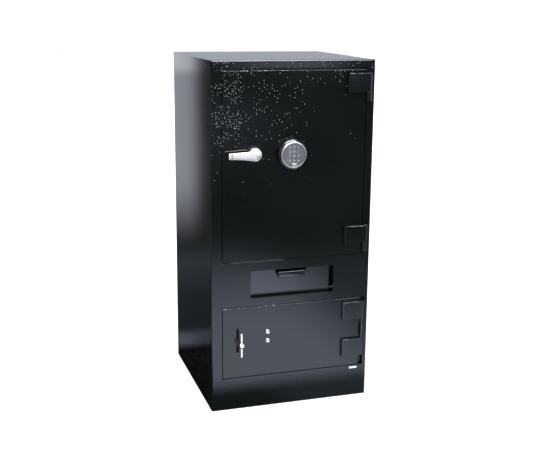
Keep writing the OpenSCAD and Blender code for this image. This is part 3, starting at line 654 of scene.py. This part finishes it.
# The shelf is one sheet of steel with its edges folded down, in grey primer. It lies loose on its rails,
# so that it can be lifted out.
def coat(name, dark, pale, gloss, grain=0.004, depth=0.00004, metallic=0.0, stretch=(1, 1, 1)):
    """A coat or bare metal: two tones in clouds, and a fine grain with a gloss that varies with it."""
    material, tree, shader = new_material(name)
    mapping = add_node(tree, "Mapping", Scale=stretch)
    tree.links.new(add_node(tree, "TexCoord").outputs["Object"], mapping.inputs["Vector"])
    where = mapping.outputs["Vector"]
    fine = noise(tree, where, 1 / grain, 2.0)
    colour = tones(tree, noise(tree, where, 22.0, 5.0), dark, pale, 0.32, 0.68)
    tree.links.new(colour, shader.inputs["Base Color"])
    tree.links.new(spread(tree, fine, *gloss), shader.inputs["Roughness"])
    tree.links.new(bumped(tree, fine, depth), shader.inputs["Normal"])
    shader.inputs["Metallic"].default_value = metallic
    return material


grey_primer = coat("grey_primer", (0.30, 0.31, 0.32), (0.38, 0.39, 0.40), (0.42, 0.62), grain=0.002)
dressed("shelf", grey_primer, 0.0009, segments=3)


# Each hinge leaf is a thick steel plate, sawn and drilled for its pin and welded to the door before it
# is painted. Its left edge is rounded over further than the rest, with painted highlight dashes on top.
hinge_enamel = enamel("hinge_enamel", ripple_depth=0.0001, gloss=0.12)
leaf_edge_highlight_enamel = enamel("leaf_edge_highlight_enamel", gloss=0.35, painted_highlight_to=0.3)
leaf_fold = 0.207
leaf_left_slope = math.tan(math.radians(1.3))
leaf_right_slope = math.tan(math.radians(3.6))
leaf_skin = 0.002
leaf_edge_r = 0.0035
leaf_edge_t = 0.012
leaf_front = safe_front - 0.008
leaf_shortest = 0.04
leaf_highlight_span = (0.018, 0.0018)
third_leaf = (0.25, 0.33)


def leaf_plates(name):
    """The hinge leaves of one door."""
    low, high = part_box(name)
    shape = whole_faces(bare_copy(name))
    split(shape, (leaf_fold, 0, 0), (1, 0, 0))
    for vertex in shape.verts:
        if vertex.co.x < leaf_fold and vertex.co.y < low.y + leaf_skin:
            vertex.co.y += (leaf_fold - vertex.co.x) * leaf_left_slope
        in_third = third_leaf[0] < vertex.co.z < third_leaf[1]
        if vertex.co.x > leaf_fold and vertex.co.y < low.y + leaf_skin and in_third:
            vertex.co.y -= (vertex.co.x - leaf_fold) * leaf_right_slope
    ease(
        shape,
        leaf_edge_r,
        where=lambda edge: all(v.co.x < low.x + close_by and v.co.y < low.y + leaf_edge_t for v in edge.verts)
        and abs(edge.verts[0].co.z - edge.verts[1].co.z) > leaf_shortest
        and all(v.co.y < leaf_front for v in edge.verts),
        segments=4,
    )
    ease(shape, 0.0011)
    # Upward rounded faces near the left edge get grey dashes, a painted highlight.
    face_finish(
        shape,
        1,
        lambda face, middle: middle.x < leaf_fold + leaf_highlight_span[0]
        and middle.y < low.y + leaf_highlight_span[1]
        and -0.95 < face.normal.y < -0.2
        and face.normal.z > 0.2,
    )
    make(name + "_plates", shape, [hinge_enamel, leaf_edge_highlight_enamel], body_of[name], slot_of[name], name)


leaf_plates("upper_hinge_leaves")
leaf_plates("lower_hinge_leaves")
dressed("hinge_lugs", hinge_enamel, 0.0007)
dressed("hinge_pins", hinge_enamel, 0.0007)


# The upper door is a 12 mm steel plate with pockets milled for its hinge leaves. It is painted in the
# same coat as the cabinet, with painted highlight dashes along its top edge, and so is the lower door.
edge_highlight_enamel = enamel("edge_highlight_enamel", gloss=0.4, painted_highlight_to=-0.03)
door_top_edge = 0.0010
door_edge_skin = 0.0013


def door_leaf(name):
    """A door plate: its top edge is eased further than the rest, and carries painted highlight dashes."""
    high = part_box(name)[1]
    shape = whole_faces(bare_copy(name))
    ease(
        shape,
        door_top_edge,
        where=lambda edge: all(
            v.co.z > high.z - close_by and v.co.y < safe_front + close_by for v in edge.verts
        ),
    )
    ease(shape, 0.0008)
    face_finish(
        shape,
        1,
        lambda face, middle: middle.z > high.z - door_edge_skin
        and middle.y < safe_front + door_edge_skin
        and face.normal.z > 0.1,
    )
    make(name + "_leaf", shape, [front_enamel, edge_highlight_enamel], body_of[name], slot_of[name], name)


door_leaf("upper_door_plate")


# Behind the upper door, two bars in grey primer are welded on: one guides the round bolts, and one hooks
# behind the frame. A folded sheet covers the works, held by slotted screws.
dressed("upper_door_bars", grey_primer, 0.0007)
dressed("upper_boltwork_cover", grey_primer, 0.0011, segments=3)
bright_steel = coat(
    "bright_steel",
    (0.50, 0.50, 0.51),
    (0.62, 0.62, 0.63),
    (0.2, 0.36),
    grain=0.0012,
    depth=0.00002,
    metallic=1.0,
    stretch=(1, 1, 0.12),
)
slot_l = 0.0105
slot_w = 0.0011
slot_depth = 0.0012
first_turn = 0.5
turn_between = 1.1


def islands(name):
    """The lowest and highest corners of each separate solid of a CAD node, from the lowest solid up."""
    shape = bare_copy(name)
    left = set(shape.verts)
    boxes = []
    while left:
        reached = [left.pop()]
        for vertex in reached:
            for edge in vertex.link_edges:
                other = edge.other_vert(vertex)
                if other in left:
                    left.remove(other)
                    reached.append(other)
        spans = [[v.co[i] for v in reached] for i in range(3)]
        boxes.append((Vector([min(s) for s in spans]), Vector([max(s) for s in spans])))
    shape.free()
    return sorted(boxes, key=lambda box: (round(box[0].z, 3), round(box[0].x, 3)))


def bar_shape(shape, low, high, turn_about_y=0.0):
    """Adds a straight-sided bar between two corners, turned about the line along Y through its middle."""
    middle = (Vector(low) + Vector(high)) / 2
    half = (Vector(high) - Vector(low)) / 2
    verts = []
    for x in (-1, 1):
        for y in (-1, 1):
            for z in (-1, 1):
                place = Vector((x * half.x, y * half.y, z * half.z))
                place.rotate(Matrix.Rotation(turn_about_y, 3, "Y"))
                verts.append(shape.verts.new(middle + place))
    for corners in ((0, 1, 3, 2), (4, 6, 7, 5), (0, 4, 5, 1), (2, 3, 7, 6), (0, 2, 6, 4), (1, 5, 7, 3)):
        shape.faces.new([verts[i] for i in corners])
    bmesh.ops.recalc_face_normals(shape, faces=shape.faces)


screws = ease(whole_faces(bare_copy("upper_cover_screws")), 0.0008, segments=3)
slots = bmesh.new()
for i, (low, high) in enumerate(islands("upper_cover_screws")):
    middle = (low + high) / 2
    reach = Vector((slot_l / 2, 0, slot_w / 2))
    bar_shape(
        slots,
        (middle.x - reach.x, high.y - slot_depth, middle.z - reach.z),
        (middle.x + reach.x, high.y + 0.001, middle.z + reach.z),
        first_turn + turn_between * i,
    )
screws = combined(screws, slots, "DIFFERENCE")
make(
    "slotted_screws",
    screws,
    bright_steel,
    "upper_door",
    "bright_steel",
    "upper_cover_screws",
    flat_faces=False,
)
dressed("upper_bolt_carriage", bright_steel, 0.0009, segments=3)


# The upper door's lock sits in a cast case in grey primer, fixed to the back of the door. Its brass bolt
# swings on a pin inside the case.
brass = coat(
    "brass", (0.55, 0.40, 0.17), (0.66, 0.50, 0.24), (0.22, 0.38), grain=0.0015, depth=0.00002, metallic=1.0
)
dressed("upper_lock_case", grey_primer, 0.0012, segments=3)
dressed("swing_bolt", brass, 0.0006)


# The lever is die cast and satin nickel plated: a domed hub and a flat arm with a crowned face, with a
# groove round it near its tip painted darker as painted shade, on a square-cornered steel spindle with a
# painted rose under it.
satin_nickel = coat(
    "satin_nickel",
    (0.76, 0.73, 0.66),
    (0.82, 0.79, 0.72),
    (0.42, 0.50),
    grain=0.0008,
    depth=0.000006,
    metallic=1.0,
)
dull_nickel_and_groove_shade = coat(
    "dull_nickel_and_groove_shade", (0.3, 0.29, 0.27), (0.36, 0.35, 0.33), (0.4, 0.5), grain=0.001, depth=0.000004
)
rose_low, rose_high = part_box("lever_rosette")
lever_low, lever_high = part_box("lever_handle")
lever_axis = ((rose_low.x + rose_high.x) / 2, (rose_low.z + rose_high.z) / 2)
lever_reach = lever_axis[0] - lever_low.x
inset = 0.0001
hub_r = lever_high.x - lever_axis[0]
hub_dome = 0.0062
hub_back = rose_low.y - 0.0003
hub_edge = 0.0012
hub_lean_t = 0.008
dome_steps = 12
arm_lean = math.tan(math.radians(8))
arm_root = hub_r * 0.6
arm_heel = hub_r * 0.96
arm_tip = 0.0090
arm_tip_r = 0.005
arm_dip = 0.0018
arm_t = 0.0125
arm_front = 0.0014
arm_steps = 40
arm_points = 40
steps_closer = 1.6
# How far from its tip the arm's upper line stays level, and how both its lines curve after that.
top_from = 0.32
top_power = 1.5
foot_power = 1.7
# What is left of its height and thickness at the very tip, and the powers that crown its face.
tip_height = 0.72
tip_thick = 0.7
crown_height = 0.4
crown_thick = 0.3
groove_at = 0.0085
groove_half = 0.0009
groove_left = 0.72
rose_bore = 0.0042
rose_edge = [(0.0222, 0.0), (0.024, 0.0008), (0.024, 0.0036)]


def turned(profile, centre, steps=72, closed=False):
    """A shape turned round the line along Y through the centre, from radii and depths in order."""
    shape = bmesh.new()
    rings = []
    for radius, depth in profile:
        ring = []
        for i in range(1 if radius < 1e-6 else steps):
            angle = 2 * math.pi * i / steps
            x = centre[0] + radius * math.cos(angle)
            z = centre[1] + radius * math.sin(angle)
            ring.append(shape.verts.new((x, depth, z)))
        rings.append(ring)
    if closed:
        rings.append(rings[0])
    for first, second in zip(rings, rings[1:]):
        for i in range(steps):
            j = (i + 1) % steps
            corners = [
                first[i % len(first)],
                first[j % len(first)],
                second[j % len(second)],
                second[i % len(second)],
            ]
            corners = list(dict.fromkeys(corners))
            if len(corners) > 2:
                shape.faces.new(corners)
    bmesh.ops.recalc_face_normals(shape, faces=shape.faces)
    return shape


def rounded(value, power):
    """The value with its sign kept and its size raised to the power."""
    return math.copysign(abs(value) ** power, value)


dome = []
for i in range(dome_steps + 1):
    a = math.pi / 2 * i / dome_steps
    dome.append((hub_r * math.sin(a), lever_low.y + inset + hub_dome * (1 - math.cos(a))))
hub_profile = [(0, dome[0][1])] + dome[1:]
hub_profile += [(hub_r, hub_back - hub_edge), (hub_r - hub_edge, hub_back), (0, hub_back)]
hub = turned(hub_profile, lever_axis)
for vertex in hub.verts:
    if vertex.co.y < lever_low.y + hub_lean_t:
        vertex.co.y += (vertex.co.z - lever_axis[1] + hub_r) * arm_lean
arm = bmesh.new()
rings = []
stations = [(lever_reach - inset) * (1 - i / arm_steps) ** steps_closer for i in range(arm_steps + 1)]
stations += [groove_at + groove_half * step for step in (-1.6, -1.0, 1.0, 1.6)]
for to_tip in sorted(stations, reverse=True):
    x = lever_low.x + inset + to_tip
    along_arm = to_tip / lever_reach
    end = math.sqrt(max(0.0, 1 - (1 - min(1.0, to_tip / arm_tip_r)) ** 2))
    dip = groove_left if abs(to_tip - groove_at) < groove_half * 1.2 else 1.0
    height = (tip_height + (1 - tip_height) * end) * dip
    up_slope = max(0.0, along_arm * (1 + top_from) - top_from) ** top_power
    top = (arm_tip + (arm_root - arm_tip) * up_slope) * height
    foot = (arm_tip + (arm_heel - arm_tip) * along_arm ** foot_power) * height
    thick = arm_t * (tip_thick + (1 - tip_thick) * end) * dip
    middle_y = lever_low.y + arm_front + arm_t / 2
    middle_z = lever_axis[1] - arm_dip * (1 - along_arm)
    ring = []
    for j in range(arm_points):
        angle = 2 * math.pi * j / arm_points
        up_z = (top if math.sin(angle) > 0 else foot) * rounded(math.sin(angle), crown_height)
        out_y = thick / 2 * rounded(math.cos(angle), crown_thick)
        y = middle_y - out_y + (up_z + foot - arm_tip) * arm_lean
        ring.append(arm.verts.new((x, y, middle_z + up_z)))
    rings.append(ring)
for first, second in zip(rings, rings[1:]):
    for j in range(arm_points):
        k = (j + 1) % arm_points
        arm.faces.new((first[j], first[k], second[k], second[j]))
arm.faces.new(rings[0])
arm.faces.new(rings[-1])
bmesh.ops.recalc_face_normals(arm, faces=arm.faces)
casting = combined(hub, arm, "UNION")
# The groove's faces are painted darker, a painted shade.
face_finish(casting, 1, lambda face, middle: abs(middle.x - lever_low.x - groove_at) < groove_half * 1.4)
lever_skins = [satin_nickel, dull_nickel_and_groove_shade]
make("lever_casting", casting, lever_skins, "lever", "chrome", "lever_handle", flat_faces=False)
dressed("lever_spindle", bright_steel, 0.0005)
rose_profile = [(rose_bore, rose_low.y)] + [(r, rose_low.y + d) for r, d in rose_edge]
rose_profile += [(rose_edge[-1][0], rose_high.y), (rose_bore, rose_high.y)]
rose = turned(rose_profile, lever_axis, closed=True)
make("lever_rose", rose, hinge_enamel, "upper_door", "black_enamel", "lever_rosette", flat_faces=False)


# The keypad's housing is a die-cast dish in gloss black, with a rounded shoulder up to a chromed rim that
# frames the keys. It is open at the bottom for the battery drawer and its tab.
dish_low, dish_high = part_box("keypad_housing")
face_low, face_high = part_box("keypad_face")
drawer_low, drawer_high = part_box("battery_drawer")
pad_axis = ((face_low.x + face_high.x) / 2, (face_low.z + face_high.z) / 2)
dish_r = dish_high.x - pad_axis[0]
face_r = face_high.x - pad_axis[0]
rim_front = dish_low.y + 0.0001
shoulder_in = 0.0385
shoulder_out = 0.0252
shoulder_r = dish_r - shoulder_in
shoulder_steps = 12
dish_steps = 96
rim_inside = 0.0354
tab_half = 0.0073
under_dish = pad_axis[1] - dish_r - 0.002
mouth_gap = 0.0003
mouth_front = drawer_low.y + 0.0125
mouth_back = drawer_high.y + 0.0005
neck_front = drawer_low.y + 0.003
neck_back = drawer_low.y + 0.0135
neck_top = drawer_low.z + 0.0023
# Radii and depths in front of the door.
rim = [
    (0.0386, 0.0262), (0.0384, 0.0278), (0.0377, 0.0291), (0.0367, 0.02985), (0.0357, 0.0298),
    (0.0348, 0.0291), (0.0343, 0.0280), (face_r + 0.0002, 0.0268), (face_r + 0.0002, 0.0251),
    (0.0352, 0.0250), (0.0386, 0.0252),
]
dish_black = coat(
    "dish_black", (0.004, 0.0045, 0.005), (0.007, 0.0075, 0.008), (0.12, 0.18), grain=0.001, depth=0.000006
)
dish_black.node_tree.nodes["Principled BSDF"].inputs["IOR"].default_value = 1.56
ring_chrome = coat(
    "ring_chrome",
    (0.9, 0.87, 0.8),
    (0.94, 0.91, 0.84),
    (0.4, 0.48),
    grain=0.001,
    depth=0.000004,
    metallic=1.0,
)
bowl = [(dish_r, 0.0), (dish_r, shoulder_out - shoulder_r)]
for i in range(1, shoulder_steps + 1):
    a = math.pi / 2 * i / shoulder_steps
    bowl.append((shoulder_in + shoulder_r * math.cos(a), shoulder_out - shoulder_r * (1 - math.sin(a))))
bowl += [(0.0352, shoulder_out), (0.0418, 0.0015), (0.0425, 0.0)]
dish = turned([(r, safe_front - d) for r, d in bowl], pad_axis, steps=dish_steps, closed=True)
mouth = bmesh.new()
bar_shape(
    mouth,
    (drawer_low.x - mouth_gap, mouth_front, under_dish),
    (drawer_high.x + mouth_gap, mouth_back, pad_axis[1]),
)
neck_way = bmesh.new()
bar_shape(
    neck_way,
    (pad_axis[0] - tab_half, neck_front, under_dish),
    (pad_axis[0] + tab_half, neck_back, neck_top),
)
dish = combined(combined(dish, mouth, "DIFFERENCE"), neck_way, "DIFFERENCE")
make("keypad_dish", dish, dish_black, "upper_door", "chrome", "keypad_housing", flat_faces=False)
ring = turned([(r, safe_front - d) for r, d in rim], pad_axis, steps=dish_steps, closed=True)
face_finish(
    ring,
    1,
    lambda face, middle: math.hypot(middle.x - pad_axis[0], middle.z - pad_axis[1]) < rim_inside,
)
make("keypad_ring", ring, [ring_chrome, dish_black], "upper_door", "chrome", flat_faces=False)


# The face and the twelve soft keys are moulded in grey plastic and rubber. The numbers and a thin rule
# across the middle are printed on them in white.
face_plastic = coat(
    "face_plastic", (0.105, 0.109, 0.124), (0.13, 0.134, 0.15), (0.3, 0.42), grain=0.0007, depth=0.00001
)
key_rubber = coat(
    "key_rubber", (0.095, 0.099, 0.112), (0.117, 0.121, 0.135), (0.36, 0.5), grain=0.0006, depth=0.00001
)
key_print = coat(
    "key_print", (0.48, 0.49, 0.51), (0.56, 0.57, 0.59), (0.5, 0.6), grain=0.0006, depth=0.000004
)
signs = {f"key_{digit}": str(digit) for digit in range(10)}
signs.update({"key_left": "*", "key_right": "#"})
sign_h = 0.0066
star_h = sign_h * 1.5
sign_t = 0.00006
sign_bold = 0.00022
sign_sunk = 0.00012
rule_half = 0.0185
rule_w = 0.0010
rule_t = 0.00008
rule_clear = 0.0004
# Shares of a key's radius and depths of its rounded cap.
cap_round = ((0, 0.0), (0.55, 0.00008), (0.82, 0.0004), (0.95, 0.0009), (1, 0.0017))
dressed("keypad_face", face_plastic, 0.0003)
rule = bmesh.new()
rule_z = (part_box("key_5")[0].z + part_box("key_5")[1].z) / 2
rule_gaps = [pad_axis[0] - rule_half]
for name in ("key_4", "key_5", "key_6"):
    rule_gaps += [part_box(name)[0].x - rule_clear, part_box(name)[1].x + rule_clear]
rule_gaps.append(pad_axis[0] + rule_half)
for left, right in zip(rule_gaps[::2], rule_gaps[1::2]):
    if right - left > 0.0002:
        bar_shape(
            rule,
            (left, face_low.y - rule_t, rule_z - rule_w / 2),
            (right, face_low.y + 0.0002, rule_z + rule_w / 2),
        )
make("printed_rule", rule, key_print, "upper_door", "keypad_face")
for name, sign in signs.items():
    low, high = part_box(name)
    centre = ((low.x + high.x) / 2, (low.z + high.z) / 2)
    radius = high.x - centre[0]
    cap = [(radius * share, low.y + 0.0001 + depth) for share, depth in cap_round]
    cap = turned(cap + [(radius, high.y), (0, high.y)], centre, steps=40)
    make(name + "_cap", cap, key_rubber, body_of[name], "key_pad", name, flat_faces=False)
    letter = bpy.data.curves.new(name + "_sign", "FONT")
    letter.body = sign
    letter.size = star_h if sign == "*" else sign_h
    letter.align_x = "CENTER"
    letter.extrude = sign_t
    letter.offset = sign_bold
    raised = bpy.data.objects.new("in_work", letter)
    scene.collection.objects.link(raised)
    bpy.context.view_layer.update()
    letter_mesh = bpy.data.meshes.new_from_object(raised)
    flat = bmesh.new()
    flat.from_mesh(letter_mesh)
    bpy.data.meshes.remove(letter_mesh)
    bpy.data.curves.remove(letter)
    tall = [v.co.y for v in flat.verts]
    middle = (min(tall) + max(tall)) / 2
    for vertex in flat.verts:
        x, y, z = vertex.co
        vertex.co = Vector((centre[0] + x, low.y + sign_sunk - z, centre[1] + y - middle))
    make(name + "_sign", flat, key_print, body_of[name], "key_pad", flat_faces=False)


# Under the keys lies a green circuit board with its lead to the lock, and a drawer with a square battery
# slides out of the housing's foot. Its tab is nickel plated with a dull bar across, and its box is black.
board_green = coat(
    "board_green", (0.012, 0.075, 0.03), (0.02, 0.11, 0.045), (0.3, 0.45), grain=0.0008, depth=0.00001
)
battery_skin = coat(
    "battery_skin", (0.025, 0.026, 0.03), (0.045, 0.046, 0.05), (0.32, 0.45), grain=0.003, depth=0.00001
)
tab_low, tab_bar, tab_top = 0.7555, 0.7605, 0.7655
dressed("keypad_board", board_green, 0.0002)
dressed("battery", battery_skin, 0.0008, segments=3)
tray = ease(whole_faces(bare_copy("battery_drawer")), 0.0004)
for height in (tab_low, tab_bar, tab_top):
    split(tray, (0, 0, height), (0, 0, 1))
face_finish(tray, 1, lambda face, middle: middle.y < rim_front - 0.0002 and tab_bar < middle.z < tab_top)
face_finish(tray, 2, lambda face, middle: middle.z < tab_low)
tray_skins = [satin_nickel, dull_nickel_and_groove_shade, battery_skin]
make("battery_tray", tray, tray_skins, "battery_tray", "chrome", "battery_drawer")


# The lower door is a plain plate with the same bars and cover behind it, welded and screwed on, and a
# brass key lock whose bolt is steel.
door_leaf("lower_door_plate")
dressed("lower_door_bars", grey_primer, 0.0007)
dressed("lower_boltwork_cover", grey_primer, 0.0011, segments=3)
dressed("lower_lock_case", brass, 0.0010, segments=3)
dressed("lower_lock_bolt", bright_steel, 0.0008)
dressed("lower_bolt_carriage", bright_steel, 0.0009, segments=3)


# The lower door's handle is a turned hub with a cross bar through it, in bright chrome, and the key
# goes into one of two chromed noses beside it. Each nose is a collar round a plug with a keyway; the plug is
# painted near black as painted shade of the keyhole.
chrome = coat(
    "chrome", (0.62, 0.57, 0.48), (0.68, 0.63, 0.54), (0.09, 0.16), grain=0.001, depth=0.000004, metallic=1.0
)
keyway_painted_shade = coat(
    "keyway_painted_shade", (0.004, 0.004, 0.005), (0.01, 0.01, 0.012), (0.4, 0.6), grain=0.0008, depth=0.00001
)
nose_bore = 0.0030
plug_r = 0.0029
keyway_half = (0.0004, 0.0018)
keyway_depth = 0.02
dressed("bar_hub", chrome, 0.0006)
dressed("bar_rod", chrome, 0.0011, segments=3)
dressed("bar_rosette", hinge_enamel, 0.0008)
noses = sorted(islands("key_noses"), key=lambda span: -span[0].z)
for place, (low, high) in zip(("first", "second"), noses):
    centre = ((low.x + high.x) / 2, (low.z + high.z) / 2)
    r = (high.x - low.x) / 2
    front = low.y + 0.0001
    collar = [(r, high.y), (r, front + 0.0007), (r - 0.0006, front), (0.0034, front)]
    collar += [(nose_bore, front + 0.0004), (nose_bore, high.y - 0.0002), (nose_bore, high.y)]
    collar = turned(collar, centre, steps=48, closed=True)
    make(f"{place}_key_nose", collar, chrome, "lower_door", "chrome", "key_noses", flat_faces=False)
    plug = [(0, front + 0.0006), (0.0026, front + 0.0006), (plug_r, front + 0.0009), (plug_r, high.y)]
    plug = turned(plug + [(0, high.y)], centre, steps=40)
    keyway = bmesh.new()
    bar_shape(
        keyway,
        (centre[0] - keyway_half[0], front, centre[1] - keyway_half[1]),
        (centre[0] + keyway_half[0], front + keyway_depth, centre[1] + keyway_half[1]),
    )
    plug = combined(plug, keyway, "DIFFERENCE")
    make(f"{place}_key_plug", plug, keyway_painted_shade, "lower_door", "chrome", flat_faces=False)


# The hopper is a face, a sloping floor and two cheeks in folded sheet, on pivots in its housing. Its pull
# lip is bent from one strip and welded under the finger slot, and its upper edge is painted light grey as a
# painted highlight.
hopper_enamel = enamel("hopper_enamel")
hopper_enamel.node_tree.nodes["Principled BSDF"].inputs["IOR"].default_value = 1.62
lip_highlight_grey = coat(
    "lip_highlight_grey", (0.22, 0.23, 0.245), (0.30, 0.31, 0.325), (0.35, 0.5), grain=0.004, depth=0.000004
)
face_lean = math.tan(math.radians(2.0))
pan_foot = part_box("hopper_face")[0].z
lip_low, lip_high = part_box("pull_lip")
lip_top = lip_high.z + 0.0024
lip_t = 0.003
lip_highlight_band = 0.0012
bend_r = 0.0045
bend_steps = 6
pan = whole_faces(bare_copy("hopper_face"))
for vertex in pan.verts:
    vertex.co.y -= (vertex.co.z - pan_foot) * face_lean
make("hopper_pan", ease(pan, 0.0014, segments=3), hopper_enamel, "hopper", "black_enamel", "hopper_face")
dressed("hopper_tray", inside_enamel, 0.0004)
outline = [(lip_high.y, lip_low.z)]
for i in range(bend_steps + 1):
    a = math.pi / 2 * i / bend_steps
    outline.append((lip_low.y + bend_r * (1 - math.sin(a)), lip_low.z + bend_r * (1 - math.cos(a))))
for i in range(bend_steps + 1):
    a = math.pi * i / bend_steps
    outline.append(
        (lip_low.y + lip_t / 2 * (1 - math.cos(a)), lip_top - lip_t / 2 + lip_t / 2 * math.sin(a))
    )
for i in range(bend_steps + 1):
    a = math.pi / 2 * (1 - i / bend_steps)
    inner_r = bend_r - lip_t
    outline.append(
        (lip_low.y + lip_t + inner_r * (1 - math.sin(a)), lip_low.z + lip_t + inner_r * (1 - math.cos(a)))
    )
outline.append((lip_high.y, lip_low.z + lip_t))
outline = [(y - (z - lip_low.z) * face_lean, z) for y, z in outline]
lip = bmesh.new()
ends = [[lip.verts.new((x, y, z)) for y, z in outline] for x in (lip_low.x, lip_high.x)]
for j in range(len(outline)):
    k = (j + 1) % len(outline)
    lip.faces.new((ends[0][j], ends[0][k], ends[1][k], ends[1][j]))
lip.faces.new(ends[0])
lip.faces.new(ends[1])
bmesh.ops.recalc_face_normals(lip, faces=lip.faces)
ease(lip, 0.0005)
# The lip's top band is painted light grey, a painted highlight.
face_finish(lip, 1, lambda face, middle: middle.z > lip_top - lip_highlight_band)
lip_skins = [hopper_enamel, lip_highlight_grey]
make("bent_pull_lip", lip, lip_skins, "hopper", "black_enamel", "pull_lip", flat_faces=False)


# A small tag of sheet metal in white paint is fixed to the kick panel, under the lower door. It carries
# no words.
tag_white = coat("tag_white", (0.78, 0.78, 0.77), (0.86, 0.86, 0.85), (0.38, 0.5), grain=0.002, depth=0.00001)
dressed("blank_tag", tag_white, 0.0002)
